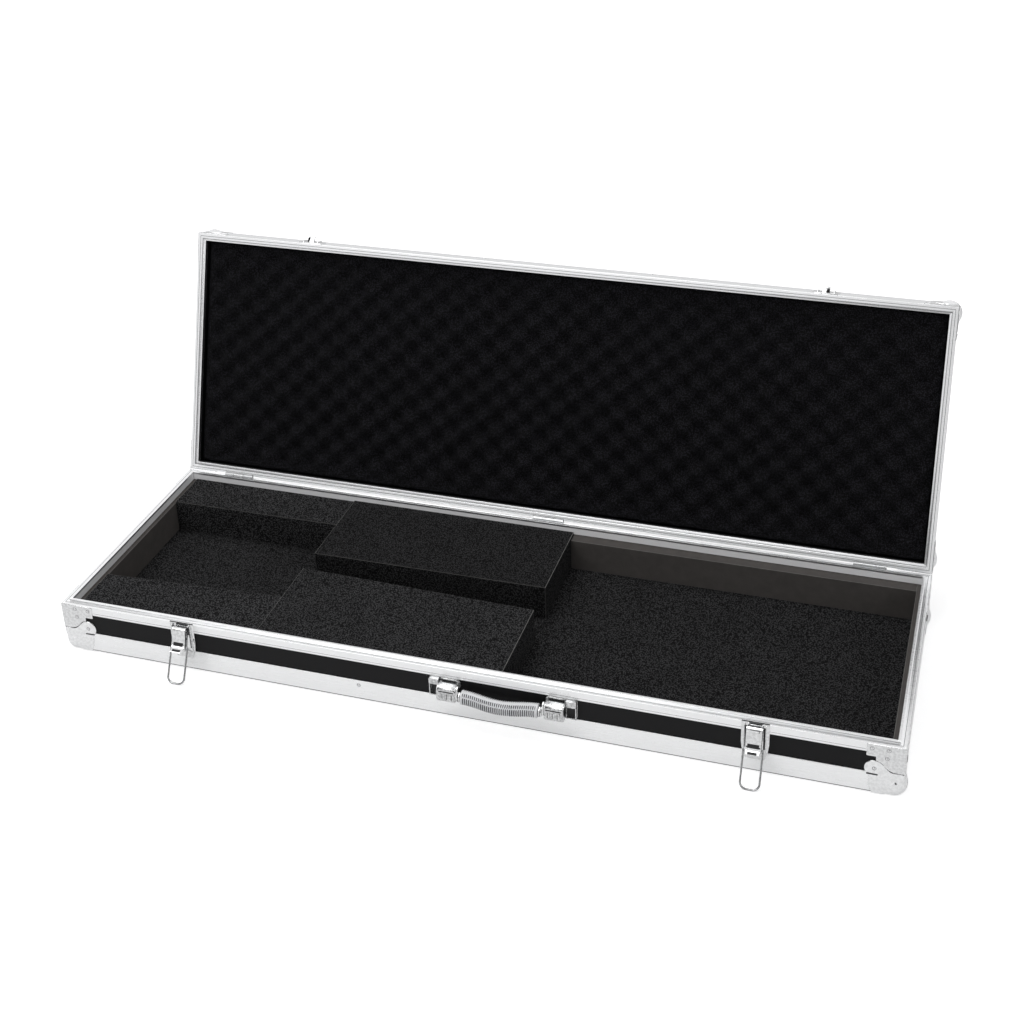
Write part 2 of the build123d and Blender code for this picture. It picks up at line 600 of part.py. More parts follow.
# The bail is one wire: a stub through each lever flange, two legs and a rounded end.
half_span = BAIL_SPACING / 2
leg_end = -BAIL_LENGTH + BAIL_BEND
turn = BAIL_BEND * 0.7071067811865476
leg_bend = 2.2
bend_turn = leg_bend * 0.7071067811865476
left_stub = Line((-BAIL_STUB_IN, 0, 0), (-half_span + leg_bend, 0, 0))
left_knee = ThreePointArc(
    (-half_span + leg_bend, 0, 0),
    (-half_span + leg_bend - bend_turn, 0, -leg_bend + bend_turn),
    (-half_span, 0, -leg_bend),
)
left_leg = Line((-half_span, 0, -leg_bend), (-half_span, 0, leg_end))
left_bend = ThreePointArc(
    (-half_span, 0, leg_end),
    (-half_span + BAIL_BEND - turn, 0, leg_end - turn),
    (-half_span + BAIL_BEND, 0, -BAIL_LENGTH),
)
tip = Line((-half_span + BAIL_BEND, 0, -BAIL_LENGTH), (half_span - BAIL_BEND, 0, -BAIL_LENGTH))
right_bend = ThreePointArc(
    (half_span - BAIL_BEND, 0, -BAIL_LENGTH),
    (half_span - BAIL_BEND + turn, 0, leg_end - turn),
    (half_span, 0, leg_end),
)
right_leg = Line((half_span, 0, leg_end), (half_span, 0, -leg_bend))
right_knee = ThreePointArc(
    (half_span, 0, -leg_bend),
    (half_span - leg_bend + bend_turn, 0, -leg_bend + bend_turn),
    (half_span - leg_bend, 0, 0),
)
right_stub = Line((half_span - leg_bend, 0, 0), (BAIL_STUB_IN, 0, 0))
left_wire = [left_stub, left_knee, left_leg, left_bend]
right_wire = [right_bend, right_leg, right_knee, right_stub]
bail_path = Wire(left_wire + [tip] + right_wire)
bail_section = Plane(origin=(-BAIL_STUB_IN, 0, 0), z_dir=(-1, 0, 0)) * Circle(BAIL_WIRE / 2)
bail = sweep(bail_section, path=bail_path)
bail = Pos(0, -HALF_D - BAIL_PIVOT_OUT, BAIL_PIVOT_Z) * Rot(-BAIL_TILT, 0, 0) * bail

# The keeper on the lid's front: a plate and an upturned hook that the bail draws down on.
keeper_half = KEEPER_WIDTH / 2
keeper = box(
    -keeper_half, keeper_half, -HALF_D - LATCH_SHEET, -HALF_D, KEEPER_BOTTOM, KEEPER_TOP
)
hook_top = BAIL_PIVOT_Z + BAIL_LENGTH - BAIL_WIRE / 2 - HOOK_CLEARANCE - BAIL_RISE
hook_face = HOOK_OUT - LATCH_SHEET
hook = [
    (0, hook_top),
    (hook_face, hook_top),
    (hook_face, hook_top + HOOK_LIP_HEIGHT),
    (HOOK_OUT, hook_top + HOOK_LIP_HEIGHT),
    (HOOK_OUT, hook_top - HOOK_WEB),
    (0, hook_top - HOOK_WEB - 2.3),
]
keeper = keeper + out_prism(hook, -HOOK_HALF, HOOK_HALF)

for name, latch_x in LATCH_XS.items():
    shift = Pos(latch_x, 0, 0)
    write("latch_plate_" + name, shift * plate)
    write("latch_pin_" + name, shift * latch_pin)
    write("latch_lever_" + name, shift * lever)
    write("latch_bail_" + name, shift * bail)
    write("latch_keeper_" + name, shift * keeper, lid=True)

# Handle: two brackets on the front panel, a pin in each, and the grip between them.
panel_out = -METAL
bracket_half = BRACKET_WIDTH / 2
bracket_low = BASE_EDGE_WIDTH + 0.7
bracket_high = BASE_HEIGHT - RIM_OUTER_DROP - 0.5
bracket_mid = (bracket_low + bracket_high) / 2
bracket_outline = [
    (-bracket_half, bracket_low + 3),
    (-bracket_half + 3, bracket_low),
    (bracket_half - 8, bracket_low),
    (bracket_half, bracket_mid + 7),
    (bracket_half - 4, bracket_high),
    (-bracket_half + 3, bracket_high),
    (-bracket_half, bracket_high - 3),
]
bracket = prism(
    [(x, -HALF_D - panel_out, z) for x, z in bracket_outline], (0, -BRACKET_SHEET, 0)
)
body_out = -HALF_D - BRACKET_BODY_OUT
body_back = -HALF_D - panel_out - BRACKET_SHEET
body_low = bracket_mid - BRACKET_BODY_HEIGHT / 2
body_high = bracket_mid + BRACKET_BODY_HEIGHT / 2
body_right = bracket_half - BRACKET_BODY_INSET
body_left = body_right - BRACKET_BODY_WIDTH
body = box(body_left, body_right, body_out, body_back, body_low, body_high)
hollow = box(
    body_left + BRACKET_WALL, body_right - BRACKET_WALL,
    body_out + BRACKET_WALL, body_back, body_low - 1, body_high - BRACKET_WALL,
)
body = fillet(body.edges().filter_by(Axis.X).group_by(Axis.Y)[0], 3)
bracket = bracket + (body - hollow)
pin_left = body_left
pin_right = body_right + SEAT + HANDLE_ARM
arm_end = BRACKET_CENTRE - body_right - SEAT
handle_pin = out_rod(pin_left, pin_right, HANDLE_PIVOT_OUT, HANDLE_PIVOT_Z, HANDLE_PIN_RADIUS)
bracket = bracket - handle_pin
left_bracket = Pos(HANDLE_X - BRACKET_CENTRE, 0, 0) * bracket
right_bracket = Pos(HANDLE_X + BRACKET_CENTRE, 0, 0) * mirror(bracket, about=Plane.YZ)
write("handle_bracket_left", left_bracket)
write("handle_bracket_right", right_bracket)
left_pin = Pos(HANDLE_X - BRACKET_CENTRE, 0, 0) * handle_pin
right_pin = Pos(HANDLE_X + BRACKET_CENTRE, 0, 0) * mirror(handle_pin, about=Plane.YZ)
write("handle_pins", Compound(children=[left_pin, right_pin]))

pivot_y = -HALF_D - HANDLE_PIVOT_OUT
grip_y = pivot_y - GRIP_REACH
grip_z = HANDLE_PIVOT_Z - GRIP_HANG
bow_y = grip_y - GRIP_BOW_OUT
bow_z = grip_z - GRIP_BOW_DROP
half_way = ((grip_y + bow_y) / 2, (grip_z + bow_z) / 2)
grip_path = Wire([
    Spline(
        (-GRIP_HALF, grip_y, grip_z),
        (-GRIP_HALF / 2, *half_way),
        (0, bow_y, bow_z),
        (GRIP_HALF / 2, *half_way),
        (GRIP_HALF, grip_y, grip_z),
        tangents=[(1, 0, 0), (1, 0, 0)],
    )
])
grip_start = Plane(origin=grip_path @ 0, z_dir=grip_path % 0)
grip = sweep(grip_start * Circle(GRIP_RADIUS), path=grip_path)
arm_length = math.hypot(GRIP_REACH, GRIP_HANG)
arm_side_y = HANDLE_ARM_RADIUS * GRIP_HANG / arm_length
arm_side_z = HANDLE_ARM_RADIUS * GRIP_REACH / arm_length
for sign in (-1, 1):
    outer_x = sign * arm_end
    thickness = (-sign * HANDLE_ARM, 0, 0)
    bar_outline = [
        (outer_x, pivot_y - arm_side_y, HANDLE_PIVOT_Z + arm_side_z),
        (outer_x, pivot_y + arm_side_y, HANDLE_PIVOT_Z - arm_side_z),
        (outer_x, grip_y + arm_side_y, grip_z - arm_side_z),
        (outer_x, grip_y - arm_side_y, grip_z + arm_side_z),
    ]
    arm = prism(bar_outline, thickness)
    arm = arm + rod((outer_x, pivot_y, HANDLE_PIVOT_Z), thickness, HANDLE_ARM_RADIUS)
    arm = arm + rod((outer_x, grip_y, grip_z), thickness, HANDLE_ARM_RADIUS)
    pin_start = (outer_x + sign, pivot_y, HANDLE_PIVOT_Z)
    arm = arm - rod(pin_start, (-sign * (HANDLE_ARM + 2), 0, 0), HANDLE_PIN_RADIUS + RUNNING)
    collar_start = (outer_x - sign * HANDLE_ARM / 2, grip_y, grip_z)
    collar_reach = arm_end - GRIP_HALF - HANDLE_ARM / 2
    grip = grip + arm + rod(collar_start, (-sign * collar_reach, 0, 0), HANDLE_ARM_RADIUS)
    collar_start = (outer_x - sign * HANDLE_ARM, grip_y, grip_z)
    collar_reach = arm_end - GRIP_HALF - HANDLE_ARM + 1
    collar = rod(collar_start, (-sign * collar_reach, 0, 0), GRIP_COLLAR_RADIUS)
    bore_reach = HANDLE_ARM + collar_reach + 2
    grip = grip + (collar - rod(pin_start, (-sign * bore_reach, 0, 0), HANDLE_PIN_RADIUS + RUNNING))
write("handle_grip", Pos(HANDLE_X, 0, 0) * grip)

# Foam and lining in the base
inner_l = HALF_L - WALL_IN
inner_d = HALF_D - WALL_IN
floor_foam = box(-inner_l, inner_l, -inner_d, inner_d, WALL_IN, FLOOR_Z)
write("floor_foam", trim_corners(floor_foam, -5, CORNER_CUT + SEAT))

block_front = -HALF_D + RIM_WIDTH + SEAT
block_back = HALF_D - RIM_WIDTH - SEAT
block_left = -inner_l + LINER + SEAT
compartment_left = NECK_RIGHT + SEAT
liner_left = box(
    -inner_l, -inner_l + LINER, -inner_d, inner_d, FLOOR_Z, LINER_TOP
)
liner_right = box(
    inner_l - LINER, inner_l, -inner_d, inner_d, FLOOR_Z, LINER_TOP
)
liner_back = box(
    compartment_left, inner_l - LINER, inner_d - BACK_LINER, inner_d, FLOOR_Z, LINER_TOP
)
liner_front = box(
    compartment_left, inner_l - LINER, -inner_d, -inner_d + LINER, FLOOR_Z, LINER_TOP
)
write("wall_liners", Compound(children=[liner_left, liner_right, liner_back, liner_front]))


def block(points, top):
    """A foam block: a plan outline standing on the floor foam."""
    return prism([(x, y, FLOOR_Z) for x, y in points], (0, 0, top - FLOOR_Z))


headstock_rear = [
    (block_left, HALF_D - HEADSTOCK_REAR_DEPTH_LEFT),
    (HEADSTOCK_RIGHT, HALF_D - HEADSTOCK_REAR_DEPTH_RIGHT),
    (HEADSTOCK_RIGHT, block_back),
    (block_left, block_back),
]
headstock_front = [
    (block_left, block_front),
    (HEADSTOCK_RIGHT, block_front),
    (HEADSTOCK_RIGHT, -HALF_D + HEADSTOCK_FRONT_DEPTH_RIGHT),
    (block_left, -HALF_D + HEADSTOCK_FRONT_DEPTH_LEFT),
]
neck_rear = [
    (NECK_LEFT, HALF_D - NECK_REAR_DEPTH_LEFT),
    (NECK_RIGHT, HALF_D - NECK_REAR_DEPTH_RIGHT),
    (NECK_RIGHT, block_back),
    (NECK_LEFT, block_back),
]
neck_front = [
    (NECK_LEFT, block_front),
    (NECK_RIGHT, block_front),
    (NECK_RIGHT, -HALF_D + NECK_FRONT_DEPTH_RIGHT),
    (NECK_LEFT, -HALF_D + NECK_FRONT_DEPTH_LEFT),
]
write("headstock_block_rear", block(headstock_rear, HEADSTOCK_TOP))
write("headstock_block_front", block(headstock_front, HEADSTOCK_TOP))
write("neck_block_rear", block(neck_rear, NECK_TOP))
write("neck_block_front", block(neck_front, NECK_TOP))

# Lid foam, glued under the lid's top panel
lid_foam_u = RIM_WIDTH + LID_FOAM_GAP
lid_foam = box(
    -HALF_L + lid_foam_u, HALF_L - lid_foam_u, -HALF_D + lid_foam_u, HALF_D - lid_foam_u,
    LID_FOAM_FACE, CLOSED_TOP - WALL_IN,
)
write("lid_foam", lid_foam, lid=True)

# Rivet heads, drawn at the front-left corner and carried round
brace_rivets = (
    (BRACE_LENGTH * 0.86, brace_top - RIM_RIVET_DROP),
    (BRACE_LENGTH * 0.43, brace_top - RIM_RIVET_DROP),
    (BRACE_LENGTH * 0.46, (arm_low + rim_edge) / 2 - 3),
)
ball_rivet = (CORNER_LOBE_CENTRE, CORNER_LOBE_CENTRE)
base_heads = []
lid_heads = []
for key in CORNER_SIGNS:
    for s, z in brace_rivets + (ball_rivet,):
        start = (-HALF_L + s, -HALF_D - BRACE_SHEET, z)
        base_heads.append(carry(rod(start, (0, -RIVET_HEAD, 0), RIVET_RADIUS), key))
        start = (-HALF_L - BRACE_SHEET, -HALF_D + s, z)
        base_heads.append(carry(rod(start, (-RIVET_HEAD, 0, 0), RIVET_RADIUS), key))
    for s in (BRACE_LENGTH * 0.85, BRACE_LENGTH * 0.42):
        z = (lid_brace_low + lid_brace_high) / 2
        start = (-HALF_L + s, -HALF_D - BRACE_SHEET, z)
        lid_heads.append(carry(rod(start, (0, -RIVET_HEAD, 0), RIVET_RADIUS), key))
        start = (-HALF_L - BRACE_SHEET, -HALF_D + s, z)
        lid_heads.append(carry(rod(start, (-RIVET_HEAD, 0, 0), RIVET_RADIUS), key))
angle_rivet = (FRONT_RIVET_X, -HALF_D, BASE_EDGE_WIDTH - EDGE_RIVET_INSET)
base_heads.append(rod(angle_rivet, (0, -RIVET_HEAD, 0), RIVET_RADIUS))
for x in (-LID_RIVET_SPREAD, LID_RIVET_SPREAD):
    start = (x + LID_RIVET_OFFSET, -HALF_D, CLOSED_TOP - EDGE_RIVET_INSET)
    lid_heads.append(rod(start, (0, -RIVET_HEAD, 0), RIVET_RADIUS))
for hinge_x in HINGE_XS:
    for offset in (-HINGE_RIVET_REACH, HINGE_RIVET_REACH):
        start = (hinge_x + offset, HALF_D + HINGE_LEAF, BASE_HEIGHT - HINGE_RIVET_RISE)
        base_heads.append(rod(start, (0, RIVET_HEAD, 0), RIVET_RADIUS))
        start = (hinge_x + offset, HALF_D + HINGE_LEAF, BASE_HEIGHT + HINGE_RIVET_RISE)
        lid_heads.append(rod(start, (0, RIVET_HEAD, 0), RIVET_RADIUS))
write("base_rivets", Compound(children=base_heads))
write("lid_rivets", Compound(children=lid_heads), lid=True)
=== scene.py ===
"""Bass guitar flight case, standing open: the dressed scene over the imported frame."""

import logging
import math
from dataclasses import dataclass, field
from enum import Enum
from typing import Callable, Iterable, Sequence

import bmesh
import bpy
import numpy as np
from mathutils import Matrix


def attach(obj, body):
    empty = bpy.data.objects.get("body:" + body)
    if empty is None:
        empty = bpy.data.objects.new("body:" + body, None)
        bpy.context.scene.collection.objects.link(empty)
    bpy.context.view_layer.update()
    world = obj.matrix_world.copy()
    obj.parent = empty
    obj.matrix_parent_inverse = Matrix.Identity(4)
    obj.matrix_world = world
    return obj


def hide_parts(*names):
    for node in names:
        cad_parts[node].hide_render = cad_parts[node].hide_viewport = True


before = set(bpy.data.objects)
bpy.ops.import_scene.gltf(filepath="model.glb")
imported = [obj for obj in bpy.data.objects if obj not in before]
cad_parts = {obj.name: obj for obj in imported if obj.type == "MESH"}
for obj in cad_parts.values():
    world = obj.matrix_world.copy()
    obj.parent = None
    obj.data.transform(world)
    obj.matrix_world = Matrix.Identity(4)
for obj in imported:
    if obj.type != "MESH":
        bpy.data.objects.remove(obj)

LOG = logging.getLogger("flight_case")
MM = 0.001
WELD_METRES = 2e-6  # corners of a node's loose triangles that are closer than this are one
FLAT_ANGLE = math.radians(0.6)  # triangles that meet flatter than this are one face
CRISP_ANGLE = math.radians(30)  # edges of a dressed node above this stay sharp
ROUNDED_ANGLE = math.radians(32)  # and those above this are rounded
EVEN = (1.0, 1.0, 1.0)  # a texture's stretch where it has none
SEAT = 1.5  # how far the aluminium's outer faces stand out from the panels, in millimetres

# Local X, Y and Z of a plate on the front face, on the left face, and of one cut from the side.
FRONT_AXES = ((1, 0, 0), (0, 0, 1), (0, -1, 0))
LEFT_AXES = ((0, 1, 0), (0, 0, 1), (-1, 0, 0))
PROFILE_AXES = ((0, -1, 0), (0, 0, 1), (1, 0, 0))


class Body(str, Enum):
    """The rigid bodies of the frame."""

    BASE = "base"
    LID = "lid"
    LEVER_LEFT = "lever_left"
    LEVER_RIGHT = "lever_right"
    BAIL_LEFT = "bail_left"
    BAIL_RIGHT = "bail_right"
    HANDLE = "handle"


class Side(str, Enum):
    """The two latches, named as seen from the front."""

    LEFT = "left"
    RIGHT = "right"


@dataclass(frozen=True)
class CaseSizes:
    """Sizes of the case in millimetres, shared by every sub-assembly."""

    length: float = 1240.0
    depth: float = 405.0
    base_height: float = 79.0
    lid_height: float = 46.0
    open_angle: float = 107.5
    hinge_offset: float = 1.5
    latch_inset_left: float = 200.0
    latch_inset_right: float = 194.7
    floor_z: float = -3.0

    @property
    def half_length(self) -> float:
        """Half the length along X."""
        return self.length / 2

    @property
    def half_depth(self) -> float:
        """Half the depth along Y."""
        return self.depth / 2

    @property
    def closed_top(self) -> float:
        """Height of the lid's top when shut."""
        return self.base_height + self.lid_height

    @property
    def hinge_y(self) -> float:
        """Y of the lid's hinge line."""
        return self.half_depth + self.hinge_offset


CASE = CaseSizes()


@dataclass
class Surface:
    """A mesh in the making: points in millimetres and faces that index them."""

    points: np.ndarray
    faces: list[tuple[int, ...]]
    marks: list[int] = field(default_factory=list)

    def moved(self, matrix: np.ndarray) -> "Surface":
        """The same surface carried by a 4x4 matrix.

        Args:
            matrix: Row-major rigid transform in millimetres.

        Returns:
            A new surface.
        """
        turned = self.points @ matrix[:3, :3].T + matrix[:3, 3]
        faces = self.faces
        if np.linalg.det(matrix[:3, :3]) < 0:
            faces = [tuple(reversed(face)) for face in faces]
        return Surface(turned, faces, list(self.marks))


def joined(surfaces: Iterable[Surface]) -> Surface:
    """Several surfaces as one.

    Args:
        surfaces: The parts, in any order.

    Returns:
        One surface that holds them all.
    """
    points: list[np.ndarray] = []
    faces: list[tuple[int, ...]] = []
    marks: list[int] = []
    offset = 0
    for part in surfaces:
        points.append(part.points)
        faces.extend(tuple(i + offset for i in face) for face in part.faces)
        marks.extend(part.marks if part.marks else [0] * len(part.faces))
        offset += len(part.points)
    return Surface(np.vstack(points), faces, marks)


def painted(surface: Surface, mark: int) -> Surface:
    """The same surface with every face in one of the object's materials.

    Args:
        surface: The surface.
        mark: The material's index.

    Returns:
        The marked surface.
    """
    return Surface(surface.points, surface.faces, [mark] * len(surface.faces))


def welded(surface: Surface) -> Surface:
    """A surface whose coincident points are made one.

    Args:
        surface: The surface, with seams.

    Returns:
        The same surface without seams.
    """
    keys = np.round(surface.points * 1000).astype(np.int64)
    _, first, index = np.unique(keys, axis=0, return_index=True, return_inverse=True)
    index = index.reshape(-1)
    faces = [tuple(dict.fromkeys(int(index[i]) for i in face)) for face in surface.faces]
    return Surface(surface.points[first], [face for face in faces if len(face) > 2])


def frame_matrix(
    origin: Sequence[float], u: Sequence[float], v: Sequence[float], w: Sequence[float]
) -> np.ndarray:
    """A matrix whose columns are three axes and an origin.

    Args:
        origin: Where the local origin goes.
        u: Local X in the frame's axes.
        v: Local Y in the frame's axes.
        w: Local Z in the frame's axes.

    Returns:
        The 4x4 matrix.
    """
    matrix = np.eye(4)
    matrix[:3, 0] = u
    matrix[:3, 1] = v
    matrix[:3, 2] = w
    matrix[:3, 3] = origin
    return matrix


def moved_by(x: float = 0.0, y: float = 0.0, z: float = 0.0) -> np.ndarray:
    """A 4x4 matrix that moves without turning.

    Args:
        x: How far along X.
        y: How far along Y.
        z: How far along Z.

    Returns:
        The matrix.
    """
    matrix = np.eye(4)
    matrix[:3, 3] = (x, y, z)
    return matrix


def turned_by(degrees: float) -> np.ndarray:
    """A 4x4 matrix that turns about the X axis.

    Args:
        degrees: The angle, from Y towards Z.

    Returns:
        The matrix.
    """
    angle = math.radians(degrees)
    matrix = np.eye(4)
    matrix[1:3, 1:3] = ((math.cos(angle), -math.sin(angle)), (math.sin(angle), math.cos(angle)))
    return matrix


def lid_open_matrix() -> np.ndarray:
    """The turn about the hinge line that carries a shut lid's piece to the open pose.

    Returns:
        The 4x4 matrix.
    """
    there = moved_by(0.0, CASE.hinge_y, CASE.base_height)
    back = moved_by(0.0, -CASE.hinge_y, -CASE.base_height)
    return there @ turned_by(-CASE.open_angle) @ back


LID_OPEN = lid_open_matrix()


def arc(centre: Sequence[float], radius: float, start: float, end: float, count: int) -> np.ndarray:
    """Points along a circle: its centre plus its radius times the cosine and sine of each angle.

    Args:
        centre: The circle's centre.
        radius: Its radius.
        start: The first angle in degrees.
        end: The last angle in degrees.
        count: How many points, both ends among them.

    Returns:
        The points, one per row.
    """
    angle = np.radians(np.linspace(start, end, count))
    return np.array(centre) + radius * np.column_stack((np.cos(angle), np.sin(angle)))


def rounded_outline(corners: Sequence[tuple[float, float, float]], steps: int = 6) -> np.ndarray:
    """A closed outline with each corner rounded by its own radius.

    Each corner is replaced by an arc that is tangent to its two edges and takes less than half
    of either. A corner without a radius, or nearly straight, stays a point.

    Args:
        corners: (x, y, radius) of each corner, anticlockwise.
        steps: Segments in each arc.

    Returns:
        The outline's points, one per row.
    """
    count = len(corners)
    out: list[np.ndarray] = []
    for i, (x, y, radius) in enumerate(corners):
        here = np.array((x, y), dtype=float)
        before = np.array(corners[i - 1][:2]) - here
        after = np.array(corners[(i + 1) % count][:2]) - here
        len_before = np.linalg.norm(before)
        len_after = np.linalg.norm(after)
        before /= len_before
        after /= len_after
        cosine = float(np.clip(before @ after, -0.99999, 0.99999))
        half = math.acos(cosine) / 2
        if radius <= 0 or half > math.pi / 2 - 0.01:
            out.append(here)
            continue
        reach = min(radius / math.tan(half), 0.499 * len_before, 0.499 * len_after)
        radius = reach * math.tan(half)
        middle = before + after
        middle /= np.linalg.norm(middle)
        centre = here + middle * radius / math.sin(half)
        start = here + before * reach - centre
        end = here + after * reach - centre
        first = math.degrees(math.atan2(start[1], start[0]))
        last = math.degrees(math.atan2(end[1], end[0]))
        sweep = (last - first + 180.0) % 360.0 - 180.0
        out.append(arc(centre, radius, first, first + sweep, steps + 1))
    return np.vstack(out)


def inset(outline: np.ndarray, distance: float) -> np.ndarray:
    """An outline moved inward along its corners' bisectors.

    Args:
        outline: Anticlockwise points.
        distance: How far in.

    Returns:
        The moved points.
    """
    before = outline - np.roll(outline, 1, axis=0)
    after = np.roll(outline, -1, axis=0) - outline
    before = before / np.maximum(np.linalg.norm(before, axis=1, keepdims=True), 1e-9)
    after = after / np.maximum(np.linalg.norm(after, axis=1, keepdims=True), 1e-9)
    n0 = np.stack((-before[:, 1], before[:, 0]), axis=1)
    n1 = np.stack((-after[:, 1], after[:, 0]), axis=1)
    middle = n0 + n1
    middle = middle / np.maximum(np.linalg.norm(middle, axis=1, keepdims=True), 1e-9)
    spread = np.clip(np.sum(middle * n1, axis=1), 0.4, 1.0)
    return outline + middle * (distance / spread)[:, None]


def rounded_box(
    left: float, low: float, right: float, high: float, radius: float, steps: int
) -> np.ndarray:
    """The outline of a rectangle with four equal rounded corners.

    Args:
        left: Its least X.
        low: Its least Y.
        right: Its greatest X.
        high: Its greatest Y.
        radius: The corners' radius.
        steps: Segments in each corner.

    Returns:
        The outline.
    """
    corners = ((left, low), (right, low), (right, high), (left, high))
    return rounded_outline([(x, y, radius) for x, y in corners], steps)


def ring_faces(rows: int, count: int) -> list[tuple[int, ...]]:
    """Faces of a closed bar made of equal rings: its sides, then its first and its last end.

    Args:
        rows: How many rings.
        count: Points in each ring.

    Returns:
        The faces.
    """
    grid = np.arange(rows * count).reshape(rows, count)
    following = np.roll(grid, -1, axis=1)
    quads = np.stack((grid[:-1], following[:-1], following[1:], grid[1:]), axis=-1).reshape(-1, 4)
    sides = [tuple(face) for face in quads.tolist()]
    return sides + [tuple(grid[0, ::-1].tolist()), tuple(grid[-1].tolist())]


def plate(
    outline: np.ndarray, thickness: float, bevel: float = 0.3, steps: int = 3, both: bool = False
) -> Surface:
    """A flat plate with rounded upper edges.

    The outline is stacked in rings: straight walls, then a quarter circle of radius bevel that
    draws each ring in, then a flat cap.

    Args:
        outline: Anticlockwise points in the plate's plane.
        thickness: Height of the plate.
        bevel: Radius of the rounded edge.
        steps: Rings in the rounding.
        both: Whether the lower edges are rounded too.

    Returns:
        A closed surface from local Z = 0 to thickness.
    """
    angle = np.linspace(0.0, math.pi / 2, steps + 1)
    draws = bevel * (1 - np.cos(angle))
    levels = thickness - bevel + bevel * np.sin(angle)
    if both:
        draws = np.append(bevel * (1 - np.sin(angle)), draws)
        levels = np.append(bevel * (1 - np.cos(angle)), levels)
    else:
        draws = np.append(0.0, draws)
        levels = np.append(0.0, levels)
    rings = [
        np.column_stack((inset(outline, draw), np.full(len(outline), level)))
        for draw, level in zip(draws, levels)
    ]
    return Surface(np.vstack(rings), ring_faces(len(rings), len(outline)))


def lathe(profile: Sequence[tuple[float, float]], sides: int = 16) -> Surface:
    """A solid of revolution about local Z.

    Args:
        profile: (radius, height) from the bottom to the top; a radius of 0 closes an end.
        sides: Segments round the axis.

    Returns:
        A closed surface.
    """
    angle = 2 * math.pi * np.arange(sides) / sides
    rings: list[np.ndarray] = []
    rows: list[np.ndarray] = []
    start = 0
    for radius, height in profile:
        ring = np.column_stack((radius * np.cos(angle), radius * np.sin(angle), np.full(sides, height)))
        ring = ring[:1] if radius <= 1e-9 else ring
        rings.append(ring)
        rows.append(start + np.arange(len(ring)))
        start += len(ring)
    faces: list[tuple[int, ...]] = []
    for low, high in zip(rows, rows[1:]):
        if len(low) == 1 and len(high) == 1:
            continue
        if len(low) == 1:
            band = (np.repeat(low, sides), np.roll(high, -1), high)
        elif len(high) == 1:
            band = (low, np.roll(low, -1), np.repeat(high, sides))
        else:
            band = (low, np.roll(low, -1), np.roll(high, -1), high)
        faces += [tuple(face) for face in np.column_stack(band).tolist()]
    if len(rows[0]) > 1:
        faces.append(tuple(rows[0][::-1].tolist()))
    if len(rows[-1]) > 1:
        faces.append(tuple(rows[-1].tolist()))
    return Surface(np.vstack(rings), faces)


def tube(path: np.ndarray, radii: np.ndarray, sides: int = 12, squash: float = 1.0) -> Surface:
    """A round bar along a path, with closed ends.

    A ring stands square to the path at each point; each ring's frame is the one before it, turned
    the least that keeps it square.

    Args:
        path: Points of the centre line.
        radii: Radius at each point.
        sides: Segments round the bar.
        squash: Ratio of the second half-width to the first.

    Returns:
        A closed surface.
    """
    tangents = np.gradient(path, axis=0)
    tangents /= np.linalg.norm(tangents, axis=1, keepdims=True)
    side = np.cross(tangents[0], (0.0, 0.0, 1.0))
    if np.linalg.norm(side) < 0.1:
        side = np.cross(tangents[0], (0.0, 1.0, 0.0))
    side /= np.linalg.norm(side)
    rings: list[np.ndarray] = []
    angles = 2 * math.pi * np.arange(sides) / sides
    for point, tangent, radius in zip(path, tangents, radii):
        side = side - tangent * (side @ tangent)
        side /= np.linalg.norm(side)
        up = np.cross(tangent, side)
        ring = point + radius * (np.cos(angles)[:, None] * side + squash * np.sin(angles)[:, None] * up)
        rings.append(ring)
    return Surface(np.vstack(rings), ring_faces(len(rings), sides))


